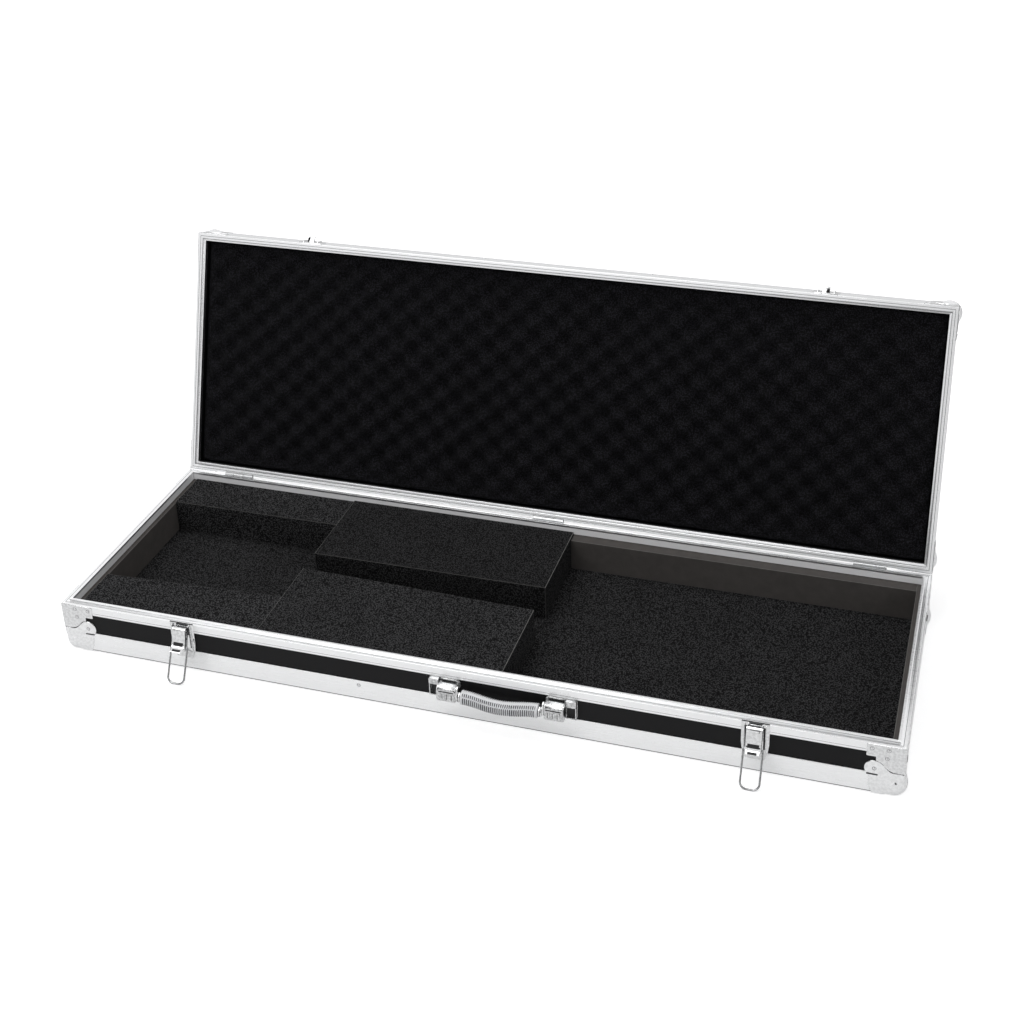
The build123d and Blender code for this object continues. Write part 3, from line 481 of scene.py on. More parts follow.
class Tree:
    """A short-hand for building a node tree."""

    def __init__(self, tree: bpy.types.NodeTree) -> None:
        """Take a tree and give it a coordinates node.

        Args:
            tree: The tree.
        """
        self.tree = tree
        self.coordinates = tree.nodes.new("ShaderNodeTexCoord")

    def feed(self, value: object, target: bpy.types.NodeSocket) -> None:
        """Link an input to a socket, or set it to a number, a vector or a colour.

        Args:
            value: The socket, or the plain value.
            target: The input.
        """
        if isinstance(value, bpy.types.NodeSocket):
            self.tree.links.new(value, target)
        else:
            target.default_value = value

    def add(self, kind: str, **values: object) -> bpy.types.Node:
        """Add a node and set its properties and feed its inputs.

        Args:
            kind: The node's type.
            values: Properties, or input names with spaces as underscores.

        Returns:
            The node.
        """
        node = self.tree.nodes.new(kind)
        for key, value in values.items():
            if hasattr(node, key):
                setattr(node, key, value)
            else:
                self.feed(value, node.inputs[key.replace("_", " ")])
        return node

    def maths(self, operation: str, *values: bpy.types.NodeSocket | float) -> bpy.types.NodeSocket:
        """The result of an operation on sockets or numbers.

        Args:
            operation: The operation's name.
            values: What it works on.

        Returns:
            The value socket.
        """
        node = self.add("ShaderNodeMath", operation=operation)
        for value, target in zip(values, node.inputs):
            self.feed(value, target)
        return node.outputs["Value"]

    def blend(
        self,
        share: bpy.types.NodeSocket | float,
        first: bpy.types.NodeSocket | Sequence[float],
        second: bpy.types.NodeSocket | Sequence[float],
        how: str = "MIX",
    ) -> bpy.types.NodeSocket:
        """A blend of two colours.

        Args:
            share: How much of the second, from 0 to 1.
            first: The first colour.
            second: The second colour.
            how: The blend's type.

        Returns:
            The colour socket.
        """
        node = self.add("ShaderNodeMix", data_type="RGBA", blend_type=how)
        for value, name in ((share, "Factor"), (first, "A"), (second, "B")):
            self.feed(value, node.inputs[name])
        return node.outputs["Result"]

    def mapped(self, scale: Sequence[float]) -> bpy.types.NodeSocket:
        """Object coordinates stretched along the axes.

        Args:
            scale: Factors along X, Y and Z.

        Returns:
            The vector socket.
        """
        place = self.coordinates.outputs["Object"]
        return self.add("ShaderNodeMapping", Scale=scale, Vector=place).outputs["Vector"]

    def noise(self, scale: float, detail: float, stretch: Sequence[float] = EVEN) -> bpy.types.NodeSocket:
        """A noise texture on object coordinates.

        Args:
            scale: Texture scale per metre.
            detail: Octaves.
            stretch: Factors along the axes before the scale.

        Returns:
            The value socket.
        """
        vector = self.mapped(stretch)
        node = self.add("ShaderNodeTexNoise", Scale=scale, Detail=detail, Roughness=0.6, Vector=vector)
        return node.outputs["Fac"]

    def ramp(self, source: bpy.types.NodeSocket, low: Sequence[float], high: Sequence[float],
             start: float = 0.3, end: float = 0.7) -> bpy.types.NodeSocket:
        """A two-colour ramp over a value.

        Args:
            source: The value.
            low: Colour at start.
            high: Colour at end.
            start: Value where the ramp begins.
            end: Value where it ends.

        Returns:
            The colour socket.
        """
        node = self.add("ShaderNodeValToRGB", Fac=source)
        for element, position, colour in zip(node.color_ramp.elements, (start, end), (low, high)):
            element.position = position
            element.color = (*colour, 1.0)
        return node.outputs["Color"]

    def bump(self, source: bpy.types.NodeSocket, distance: float, strength: float) -> bpy.types.NodeSocket:
        """A bump from a height.

        Args:
            source: Height value.
            distance: Height in metres of a value of 1.
            strength: Weight of the bump.

        Returns:
            The normal socket.
        """
        node = self.add("ShaderNodeBump", Strength=strength, Distance=distance, Height=source)
        return node.outputs["Normal"]


class Paint(Tree):
    """A new material's node tree, with its shader."""

    def __init__(self, name: str) -> None:
        """Start an empty material.

        Args:
            name: The material's name.
        """
        self.material = bpy.data.materials.new(name)
        self.material.use_nodes = True
        super().__init__(self.material.node_tree)
        self.shader = self.tree.nodes["Principled BSDF"]

    def finished(self, **values: object) -> bpy.types.Material:
        """Feed the shader's inputs.

        Args:
            values: Input names, with spaces as underscores.

        Returns:
            The material.
        """
        for key, value in values.items():
            self.feed(value, self.shader.inputs[key.replace("_", " ")])
        return self.material


@dataclass(frozen=True)
class Metal:
    """A bare metal finish."""

    name: str
    colour: tuple[float, float, float]
    roughness: float
    grain: float
    grain_stretch: tuple[float, float, float] = (1.0, 60.0, 60.0)
    mottle: float = 0.0
    grain_scale: float = 30.0
    grain_height: float = 0.00002
    mottle_scale: float = 260.0

    def build(self) -> bpy.types.Material:
        """Make the material: metal with a fine grain in its roughness and bump, and a mottled tint.

        Returns:
            The material.
        """
        paint = Paint(self.name)
        tint: bpy.types.NodeSocket | tuple[float, ...] = (*self.colour, 1.0)
        if self.mottle > 0:
            cloud = paint.noise(self.mottle_scale, 3.0)
            dull = tuple(value * (1 - self.mottle) for value in self.colour)
            tint = paint.ramp(cloud, dull, self.colour, 0.4, 0.6)
        grain = paint.noise(self.grain_scale, 4.0, self.grain_stretch)
        low = (self.roughness - self.grain,) * 3
        high = (self.roughness + self.grain,) * 3
        return paint.finished(
            Metallic=1.0,
            Base_Color=tint,
            Roughness=paint.ramp(grain, low, high),
            Normal=paint.bump(grain, self.grain_height, 0.4),
        )


@dataclass(frozen=True)
class Laminate:
    """The black sheet on the panels: dark, with a faint pebble."""

    name: str
    colour: tuple[float, float, float]
    roughness: float
    specular: float = 0.18
    pebble_scale: float = 900.0
    pebble_height: float = 0.00015

    def build(self) -> bpy.types.Material:
        """Make the material.

        Returns:
            The material.
        """
        paint = Paint(self.name)
        pebble = paint.noise(self.pebble_scale, 3.0)
        return paint.finished(
            Base_Color=(*self.colour, 1.0),
            Roughness=self.roughness,
            Specular_IOR_Level=self.specular,
            Normal=paint.bump(pebble, self.pebble_height, 0.5),
        )


@dataclass(frozen=True)
class Foam:
    """Open-cell foam: dark pits between paler cell walls."""

    name: str
    dark: tuple[float, float, float]
    light: tuple[float, float, float]
    cell: float
    depth: float
    wall_end: float = 0.12
    pit_start: float = 0.28
    cloud_scale: float = 14.0
    cloud_dark: float = 0.8
    roughness: float = 0.95
    specular: float = 0.15

    def build(self) -> bpy.types.Material:
        """Make the material from two scales of cells and a cloudy tint.

        Returns:
            The material.
        """
        paint = Paint(self.name)
        place = paint.coordinates.outputs["Object"]
        cells = paint.add("ShaderNodeTexVoronoi", Scale=1000.0 / self.cell, Vector=place)
        grit = paint.noise(1400.0 / self.cell, 5.0)
        pits = paint.maths("MULTIPLY", cells.outputs["Distance"], grit)
        colour = paint.ramp(pits, self.light, self.dark, self.wall_end, self.pit_start)
        cloud = paint.ramp(paint.noise(self.cloud_scale, 3.0), (self.cloud_dark,) * 3, (1.0, 1.0, 1.0))
        walls = paint.maths("SUBTRACT", 1.0, pits)
        return paint.finished(
            Base_Color=paint.blend(1.0, colour, cloud, "MULTIPLY"),
            Roughness=self.roughness,
            Specular_IOR_Level=self.specular,
            Normal=paint.bump(walls, self.depth * MM, 0.8),
        )


@dataclass(frozen=True)
class Plain:
    """A plain dielectric finish with a faint unevenness."""

    name: str
    colour: tuple[float, float, float]
    roughness: float
    unevenness: float = 0.0
    lengthwise_shade: float = 1.0
    cloud_scale: float = 60.0
    grit_scale: float = 1500.0
    grit_height: float = 0.0001

    def build(self) -> bpy.types.Material:
        """Make the material, dimmed by lengthwise_shade except on rounded top edges that run across the case.

        The dimming is painted shade and the edges left bright are a painted highlight, picked by the way
        each edge faces. Such an edge's normal leans both up and along the case, so the share is the lesser
        of its height and the size of its X.

        Returns:
            The material.
        """
        paint = Paint(self.name)
        low = tuple(c * (1 - self.unevenness) for c in self.colour)
        high = tuple(c * (1 + self.unevenness) for c in self.colour)
        tint = paint.ramp(paint.noise(self.cloud_scale, 4.0), low, high)
        if self.lengthwise_shade < 1.0:
            facing = paint.add("ShaderNodeSeparateXYZ", Vector=paint.coordinates.outputs["Normal"])
            aside = paint.maths("ABSOLUTE", facing.outputs["X"])
            slant = paint.maths("MINIMUM", aside, facing.outputs["Z"])
            share = paint.add(
                "ShaderNodeMapRange", Value=slant, From_Min=0.1, From_Max=0.4,
                To_Min=self.lengthwise_shade, To_Max=1.0,
            )
            scaled = paint.add("ShaderNodeVectorMath", operation="SCALE", Scale=share.outputs["Result"])
            paint.feed(tint, scaled.inputs[0])
            tint = scaled.outputs["Vector"]
        grit = paint.noise(self.grit_scale, 3.0)
        return paint.finished(
            Base_Color=tint, Roughness=self.roughness, Normal=paint.bump(grit, self.grit_height, 0.4)
        )


class Finishes:
    """Every material of the case, each made once."""

    def __init__(self) -> None:
        """Build the materials."""
        self.edging = Metal("edging", (0.93, 0.935, 0.94), 0.3, 0.05).build()
        # Painted shade: dark lines in the extrusions' grooves, round the rims, at the crown, a painted
        # contact shadow at the foot, and rings at the rivets' feet.
        self.line = Metal("line", (0.3, 0.3, 0.31), 0.5, 0.05).build()
        self.inner_leg = Plain("inner_leg", (0.95, 0.95, 0.955), 0.4).build()
        self.hinge = Metal("hinge", (0.5, 0.505, 0.51), 0.28, 0.05, EVEN).build()
        self.hardware = Metal("hardware", (0.8, 0.805, 0.81), 0.1, 0.04, EVEN, 0.17).build()
        self.wire = Metal("wire", (0.5, 0.505, 0.51), 0.16, 0.04, EVEN, 0.3).build()
        self.cast = Metal("cast", (0.7, 0.705, 0.71), 0.24, 0.05, EVEN, 0.35).build()
        self.corner = Metal("corner_plate", (0.88, 0.885, 0.89), 0.1, 0.04, EVEN, 0.1).build()
        self.shadow = Plain("shadow", (0.008, 0.008, 0.009), 0.6).build()
        self.laminate = Laminate("laminate", (0.0035, 0.0035, 0.0042), 0.5).build()
        self.lid_foam = Foam("lid_foam", (0.0008, 0.0008, 0.001), (0.0155, 0.015, 0.019), 2.4, 0.9).build()
        # Rounded foam edges: partly a lighter cut edge, partly a painted highlight, with painted shade on
        # edges that face the other way.
        self.cut_edge_highlight = Plain("cut_edge_highlight", (0.22, 0.217, 0.21), 0.9, 0.4, 0.16).build()
        self.liner = Plain("liner", (0.062, 0.056, 0.052), 0.85, 0.12).build()
        self.liner_edge = Plain("liner_edge", (0.12, 0.115, 0.11), 0.85, 0.12).build()
        self.grip = Plain("grip", (0.78, 0.785, 0.8), 0.28).build()
        # Painted shade for the deep faces of the grip's rib grooves.
        self.groove = Plain("groove", (0.14, 0.14, 0.155), 0.5).build()

    @staticmethod
    def block(name: str, lit_tone: float) -> bpy.types.Material:
        """Charcoal foam for one block, lighter or darker than the ordinary foam as painted light.

        Args:
            name: The block's name.
            lit_tone: Its painted lightness against the ordinary foam, set by how the light falls on the
                block.

        Returns:
            The material.
        """
        dark = (0.002 * lit_tone, 0.002 * lit_tone, 0.0022 * lit_tone)
        light = (0.053 * lit_tone, 0.053 * lit_tone, 0.0545 * lit_tone)
        return Foam(f"foam_{name}", dark, light, 2.2, 0.7).build()


def placed(name: str, data: bpy.types.ID) -> bpy.types.Object:
    """A new object in the scene, at the origin.

    Args:
        name: Its name.
        data: Its mesh, light or camera.

    Returns:
        The object.
    """
    thing = bpy.data.objects.new(name, data)
    bpy.context.scene.collection.objects.link(thing)
    return thing


def make_object(
    name: str,
    surface: Surface,
    materials: Sequence[bpy.types.Material],
    body: Body,
    stands_for: Sequence[str] = (),
    sharp: float = 38.0,
    sheet: float = 0.0,
) -> bpy.types.Object:
    """Turn a surface into a piece of the scene.

    Args:
        name: The piece's name.
        surface: Its shape, in millimetres in the frame's axes.
        materials: Its materials; the surface's marks pick among them.
        body: The body it rides on.
        stands_for: The frame nodes it takes the place of.
        sharp: Angle in degrees above which an edge stays sharp.
        sheet: Thickness in millimetres given to an open surface, inward; 0 for a closed one.

    Returns:
        The object.
    """
    mesh = bpy.data.meshes.new(name)
    mesh.from_pydata((surface.points * MM).tolist(), [], surface.faces)
    for material in materials:
        mesh.materials.append(material)
    if surface.marks:
        mesh.polygons.foreach_set("material_index", surface.marks)
    if sheet == 0.0:
        work = bmesh.new()
        work.from_mesh(mesh)
        bmesh.ops.recalc_face_normals(work, faces=work.faces)
        work.to_mesh(mesh)
        work.free()
    mesh.shade_smooth()
    mesh.set_sharp_from_angle(angle=math.radians(sharp))
    mesh.update()
    thing = placed(name, mesh)
    if sheet > 0.0:
        wall = thing.modifiers.new("wall", "SOLIDIFY")
        wall.thickness = sheet * MM
        wall.offset = -1.0
        wall.use_quality_normals = True
    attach(thing, body.value)
    if stands_for:
        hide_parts(*stands_for)
    return thing


def dress(
    names: Sequence[str],
    material: bpy.types.Material,
    body: Body,
    bevel: float,
    segments: int = 3,
    edge: bpy.types.Material | None = None,
) -> list[bpy.types.Object]:
    """Stand a bevelled copy in for each of several frame nodes.

    Args:
        names: The frame nodes.
        material: Their finish.
        body: The body they ride on.
        bevel: Edge radius in millimetres.
        segments: Bevel segments.
        edge: Finish of the rounded edges, where it differs.

    Returns:
        The copies.
    """
    out = []
    for name in names:
        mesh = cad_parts[name].data.copy()
        mesh.name = name + "_dressed"
        mesh.materials.clear()
        mesh.materials.append(material)
        if edge is not None:
            mesh.materials.append(edge)
        work = bmesh.new()
        work.from_mesh(mesh)
        bmesh.ops.remove_doubles(work, verts=work.verts, dist=WELD_METRES)
        bmesh.ops.dissolve_limit(work, angle_limit=FLAT_ANGLE, verts=work.verts, edges=work.edges)
        bmesh.ops.recalc_face_normals(work, faces=work.faces)
        for face in work.faces:
            face.smooth = True
            face.material_index = 0
        work.to_mesh(mesh)
        work.free()
        mesh.set_sharp_from_angle(angle=CRISP_ANGLE)
        thing = placed(name + "_dressed", mesh)
        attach(thing, body.value)
        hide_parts(name)
        rounding = thing.modifiers.new("edges", "BEVEL")
        rounding.width = bevel * MM
        rounding.segments = segments
        rounding.limit_method = "ANGLE"
        rounding.angle_limit = ROUNDED_ANGLE
        rounding.harden_normals = True
        rounding.use_clamp_overlap = True
        if edge is not None:
            rounding.material = 1
        out.append(thing)
    return out


@dataclass
class Shell:
    """The panels, edge angles and rims of base and lid."""

    finishes: Finishes
    metal_edge: float = 0.45
    panel_edge: float = 0.3

    def build(self) -> None:
        """Dress the panels and the aluminium."""
        sides = ("front", "back", "left", "right")
        base_panels = ["base_bottom_panel"] + [f"base_{side}_panel" for side in sides]
        dress(base_panels, self.finishes.laminate, Body.BASE, self.panel_edge)
        lid_panels = ["lid_top_panel"] + [f"lid_{side}_panel" for side in sides]
        dress(lid_panels, self.finishes.laminate, Body.LID, self.panel_edge)
        base_metal = [f"base_angle_{side}" for side in sides] + [f"base_rim_{side}" for side in sides]
        dress(base_metal, self.finishes.edging, Body.BASE, self.metal_edge)
        lid_metal = ["lid_long_angles", "lid_end_angles"] + [f"lid_rim_{side}" for side in sides]
        dress(lid_metal, self.finishes.edging, Body.LID, self.metal_edge)


@dataclass
class ShadeLines:
    """The extrusions' fine lines, each a thin bar in painted shade that stands a little proud of the metal.

    Two dark grooves run along each mating face, one dark line runs round the base's rims, and one
    at the foot and one at the crown, all painted shade; the one at the foot is a painted contact
    shadow. A bright strip lines the inner leg of the base's rims.
    """

    finishes: Finishes
    grooves: tuple[float, float] = (3.6, 8.2)
    width: float = 0.8
    proud: float = 0.04
    depth: float = 0.2
    face_line: float = 68.0
    face_line_width: float = 0.5
    foot_line: float = 1.5
    corner_reach: float = 41.0
    brace_reach: float = 51.0
    leg_inset: float = 12.0
    leg_drop: float = 11.0
    leg_top: float = 0.4
    leg_stop: float = 12.5

    @staticmethod
    def bar(low: Sequence[float], high: Sequence[float]) -> Surface:
        """A square bar between two corners.

        Args:
            low: The lowest corner.
            high: The highest corner.

        Returns:
            The surface.
        """
        outline = np.array([(low[0], low[1]), (high[0], low[1]), (high[0], high[1]), (low[0], high[1])])
        return plate(outline, high[2] - low[2], 0.01, 1).moved(moved_by(z=low[2]))

    def loop(self, inset_by: float, low: float, high: float, width: float, stop: float) -> list[Surface]:
        """Four bars round the case at one distance in from its outer faces.

        Args:
            inset_by: Distance in from the outer faces to the bars' outer sides.
            low: Height of their undersides.
            high: Height of their tops.
            width: Their width.
            stop: How far short of the case's corners they end.

        Returns:
            The bars.
        """
        bars = []
        far_x = CASE.half_length - inset_by
        far_y = CASE.half_depth - inset_by
        end_x = CASE.half_length - stop
        end_y = CASE.half_depth - stop
        for sign in (-1, 1):
            ys = sorted((sign * far_y, sign * (far_y - width)))
            xs = sorted((sign * far_x, sign * (far_x - width)))
            bars.append(self.bar((-end_x, ys[0], low), (end_x, ys[1], high)))
            bars.append(self.bar((xs[0], -end_y, low), (xs[1], end_y, high)))
        return bars

    def build(self) -> None:
        """Make the lines of base and lid, and the inner legs."""
        base: list[Surface] = []
        lid: list[Surface] = []
        top = CASE.base_height
        for groove in self.grooves:
            base += self.loop(groove, top - self.depth, top + self.proud, self.width, groove)
            lid += self.loop(groove, top - self.proud, top + self.depth, self.width, groove)
        # The line at the foot is a painted contact shadow.
        base += self.loop(-self.proud, 0.0, self.foot_line, self.depth, self.corner_reach)
        face_top = self.face_line + self.face_line_width
        base += self.loop(-self.proud, self.face_line, face_top, self.depth, self.brace_reach)
        crown = CASE.closed_top
        lid += self.loop(-self.proud, crown - self.foot_line, crown, self.depth, self.corner_reach)
        leg_out = self.leg_inset - self.depth
        leg_thick = self.depth + self.proud
        leg = self.loop(leg_out, top - self.leg_drop, top - self.leg_top, leg_thick, self.leg_stop)
        make_object("base_shade_lines", joined(base), [self.finishes.line], Body.BASE, ())
        make_object("base_inner_legs", joined(leg), [self.finishes.inner_leg], Body.BASE, ())
        make_object("lid_shade_lines", joined(lid).moved(LID_OPEN), [self.finishes.line], Body.LID, ())


@dataclass
class Corners:
    """Ball corners and rim braces, made at the front-left corner and mirrored to the others."""

    finishes: Finishes
    sheet: float = 1.2
    plate_length: float = 40.0
    plate_flare: float = 5.0
    plate_height: float = 36.3
    ear: float = 38.5
    ear_radius: float = 13.0
    ear_step: float = 1.2
    step_up: float = 29.6
    step_along: float = 22.0
    ball_centre: float = 13.0
    ball_radius: float = 18.1
    ball_blend: float = 2.6
    ball_reach: float = 9.0
    rays: int = 49
    rings: int = 40
    edge_radius: float = 1.5
    foot: float = 3.0
    press: float = 1.2
    lid_height: float = 26.0
    bevel: float = 0.5
    brace_length: float = 50.0
    brace_arm: float = 19.8
    brace_clearance: float = 0.9
    lid_brace_height: float = 16.0
    rim_gap: float = 0.3
    rim_depth: float = 14.8
    post_radius: float = 1.1

    def build(self) -> None:
        """Make all corner hardware."""
        base_ball = self.ball_corner(True)
        lid_ball = self.ball_corner(False)
        lid_parts = []
        # A thin strip of painted shadow under the ear's step on each upright face.
        shade = plate(
            rounded_outline([(33.5, 29.0, 0.3), (48.2, 29.0, 0.3), (48.6, 30.4, 0.3), (33.5, 30.2, 0.3)], 2),
            1.45, 0.1, 1,
        )
        shades = [shade.moved(face) for face in self.faces()]
        for key, x_sign, y_sign in (("fl", -1, -1), ("fr", 1, -1), ("bl", -1, 1), ("br", 1, 1)):
            place = self.mirror(x_sign, y_sign)
            make_object(
                f"ball_corner_{key}", base_ball.moved(place), [self.finishes.corner],
                Body.BASE, [f"base_ball_corner_{key}"], 60.0, self.sheet,
            )
            make_object(
                f"brace_{key}", self.brace(False).moved(place), [self.finishes.hardware],
                Body.BASE, [f"base_brace_{key}"], 40.0,
            )
            steps = joined([shade.moved(place) for shade in shades])
            make_object(f"corner_step_shadow_{key}", steps, [self.finishes.shadow], Body.BASE, ())
            lift = np.diag((1.0, 1.0, -1.0, 1.0))
            lift[2, 3] = CASE.closed_top
            lid_parts.append(lid_ball.moved(LID_OPEN @ lift @ place))
        make_object(
            "lid_ball_corners_set", joined(lid_parts), [self.finishes.corner],
            Body.LID, ["lid_ball_corners"], 60.0, self.sheet,
        )
        braces = []
        for x_sign in (-1, 1):
            for y_sign in (-1, 1):
                braces.append(self.brace(True).moved(LID_OPEN @ self.mirror(x_sign, y_sign)))
        make_object(
            "lid_braces_set", joined(braces), [self.finishes.hardware],
            Body.LID, ["lid_corner_braces"], 40.0,
        )

    @staticmethod
    def mirror(x_sign: int, y_sign: int) -> np.ndarray:
        """A matrix from corner coordinates, both running inward, to the case's corner.

        Args:
            x_sign: -1 for the left end, 1 for the right.
            y_sign: -1 for the front, 1 for the back.

        Returns:
            The 4x4 matrix.
        """
        matrix = np.diag((-float(x_sign), -float(y_sign), 1.0, 1.0))
        matrix[0, 3] = x_sign * CASE.half_length
        matrix[1, 3] = y_sign * CASE.half_depth
        return matrix

    @staticmethod
    def faces() -> tuple[np.ndarray, np.ndarray]:
        """Placements of a plate on the two upright faces: local X along, Y up, Z outward."""
        return frame_matrix((0, 0, 0), *FRONT_AXES), frame_matrix((0, 0, 0), *LEFT_AXES)

    def side_outline(self, lobed: bool) -> np.ndarray:
        """The corner plate on an upright face, in (along, up) from the corner, from the foot upward.

        Args:
            lobed: Whether the round ear with the rivet stands on it.

        Returns:
            The outline's points.
        """
        low = -self.sheet
        far = self.plate_length
        if not lobed:
            top = self.lid_height
            corners = [(low, low, 0.0), (far, low, 0.0), (far, top - 5, 3.0), (far - 6, top, 4.0)]
            corners.append((low, top, 0.0))
            return rounded_outline(corners)[1:]
        ear = arc((self.ear, self.ear), self.ear_radius, -50, 146, 40)
        start = [(far, low), (far, 0.0), (far + self.plate_flare, self.step_up - 2.5)]
        top = self.plate_height
        end = [(24.6, 42.2), (21.2, 39.2), (17.6, 37.3), (13.5, top + 0.2), (9.0, top), (low, top)]
        return np.vstack((start, ear, end))

    def under_outline(self) -> np.ndarray:
        """The corner plate under the case, in (along X, along Y) from the corner.

        Returns:
            The outline's points.
        """
        low = -self.sheet
        far = self.plate_length
        return rounded_outline([(low, low, 0.0), (far, low, 0.0), (far, far, 14.0), (low, far, 0.0)])[1:]

    def drawn_face(self, outline: np.ndarray, axes: tuple[int, int, int], stepped: bool) -> np.ndarray:
        """One of a ball corner's three square faces, drawn onto the rounded box and the ball.

        The face is laid out in rays from the corner to its outline. A point p, measured inward
        from the outer faces, is drawn onto a box with rounded edges: with q the larger of p and
        r in each coordinate, p becomes q + r (p - q) / |p - q|. The edge radius r is the ball's
        depth near the corner and falls to a tight fold further along. Points nearer to the
        ball's centre than its radius R are then pushed out by a smooth maximum of their distance
        and R.

        Args:
            outline: The plate's outline on this face.
            axes: The coordinates that run along, up and across the face.
            stepped: Whether its ear lies one step further out.

        Returns:
            The points, one per row, ring by ring.
        """
        along, up, across = axes
        depth = self.ball_centre + self.sheet
        angle = np.linspace(0.0, math.pi / 2, self.rays)
        edge = outline + self.sheet
        polar = np.arctan2(edge[:, 1], edge[:, 0])
        reach = np.interp(angle, np.maximum.accumulate(polar), np.linalg.norm(edge, axis=1))
        share = np.linspace(0.0, 1.0, self.rings + 1)[1:, None]
        flat = np.zeros((self.rings, self.rays, 3))
        flat[..., along] = share * reach * np.cos(angle)
        flat[..., up] = share * reach * np.sin(angle)
        furthest = flat.max(axis=-1, keepdims=True)
        near = np.clip((2 * depth - furthest) / depth, 0.0, 1.0)
        radius = self.edge_radius + (depth - self.edge_radius) * near * near * (3 - 2 * near)
        core = np.maximum(flat, radius)
        out = flat - core
        rounded = core + radius * out / np.linalg.norm(out, axis=-1, keepdims=True)
        spoke = rounded - depth
        length = np.linalg.norm(spoke, axis=-1, keepdims=True)
        over = length - self.ball_radius
        pushed = self.ball_radius + 0.5 * (over + np.sqrt(over * over + self.ball_blend**2))
        pushed = np.where(over > self.ball_reach, length, pushed)
        shape = depth + spoke * pushed / length - self.sheet
        if stepped:
            climb = 1 / (1 + np.exp((self.step_up - shape[..., up]) * 3.0))
            climb = climb / (1 + np.exp((self.step_along - shape[..., along]) * 0.6))
            shape[..., across] += self.ear_step * climb
        return shape.reshape(-1, 3)

    def ball_corner(self, lobed: bool) -> Surface:
        """One ball corner in corner coordinates, as an open sheet that faces outward.

        Its three faces meet along their edges, a fan of triangles closes the hole at the ball's
        tip, and the lowest part is pressed flat for standing on.

        Args:
            lobed: Whether its upright plates carry the round ears.

        Returns:
            The surface.
        """
        side = self.side_outline(lobed)
        sheets = [self.drawn_face(side, (0, 2, 1), lobed), self.drawn_face(side, (1, 2, 0), lobed)]
        sheets.append(self.drawn_face(self.under_outline(), (0, 1, 2), False))
        points = np.vstack(sheets)
        count = self.rings * self.rays
        grid = np.arange(count).reshape(self.rings, self.rays)
        quads = np.stack((grid[:-1, :-1], grid[:-1, 1:], grid[1:, 1:], grid[1:, :-1]), axis=-1)
        hub = grid[0]
        tip = len(points)
        fan = np.column_stack((np.full(self.rays - 1, tip), hub[1:], hub[:-1]))
        faces: list[tuple[int, ...]] = []
        for pattern in (quads.reshape(-1, 4), fan):
            for number, flip in ((0, True), (1, False), (2, False)):
                turned = pattern[:, ::-1] if flip else pattern
                index = np.where(turned == tip, tip, turned + number * count)
                faces.extend(map(tuple, index.tolist()))
        depth = self.ball_centre + self.sheet
        rise = np.linalg.norm(points[hub] + self.sheet - depth, axis=1).mean()
        points = np.vstack((points, np.full((1, 3), depth - rise / math.sqrt(3) - self.sheet)))
        sink = np.maximum(self.press - self.foot - points[:, 2], 0.0)
        pressed = self.press - self.foot - self.press * (1 - np.exp(-sink / self.press))
        points[:, 2] = np.where(sink > 0, pressed, points[:, 2])
        return welded(Surface(points, faces))

    def brace(self, lid: bool) -> Surface:
        """A rim corner brace in corner coordinates.

        Args:
            lid: Whether it is the lid's plain one.

        Returns:
            The surface.
        """
        front, left_face = self.faces()
        if lid:
            low = CASE.base_height + self.rim_gap
            high = low + self.lid_brace_height
            far = self.brace_length
            outline = rounded_outline(
                [(-self.sheet, low, 0.0), (far, low, 1.0), (far, high - 3.0, 2.0), (far - 5.0, high, 2.0),
                 (-self.sheet, high, 0.0)], 5
            )
            sheet = plate(outline, self.sheet, self.bevel)
            return joined([sheet.moved(front), sheet.moved(left_face)])
        top = CASE.base_height - self.rim_gap
        arm = top - self.brace_arm
        foot = self.plate_height + self.brace_clearance
        hollow = arc((self.ear, self.ear), self.ear_radius + self.brace_clearance, 152, 96, 12)
        foot_line = [(9.0, foot), (13.5, foot + 0.2), (17.0, foot + 1.2), (20.6, foot + 3.0)]
        low_edge = np.vstack((foot_line, hollow, [(37.5, arm - 0.6), (38.1, arm)]))
        left = [(-self.sheet, top), (-self.sheet, foot)]
        right = [(self.brace_length - 1, arm), (self.brace_length, arm + 1)]
        right += [(self.brace_length, top - 1), (self.brace_length - 1, top)]
        face = plate(np.vstack((left, low_edge, right)), self.sheet, self.bevel)
        rim_edge = CASE.base_height - self.rim_depth
        seat = np.vstack(([(0.0, rim_edge), (0.0, foot)], low_edge[:-2], [(37.0, rim_edge)]))
        back = plate(seat, SEAT, 0.1, 1)
        parts = []
        for place in (front, left_face):
            parts.append(face.moved(place))
            parts.append(back.moved(place @ moved_by(z=-SEAT)))
        inset_by = -0.3 * self.sheet
        post = np.array([[inset_by, inset_by, foot + 0.3], [inset_by, inset_by, top - 0.3]])
        parts.append(tube(post, np.full(2, self.post_radius), 12))
        return joined(parts)


@dataclass
class Hinges:
    """Three hinges along the back edge."""

    finishes: Finishes

    def build(self) -> None:
        """Dress the leaves and pins."""
        dress(["hinge_base_leaves", "hinge_pins"], self.finishes.hinge, Body.BASE, 0.25, 2)
        dress(["hinge_lid_leaves"], self.finishes.hinge, Body.LID, 0.25, 2)


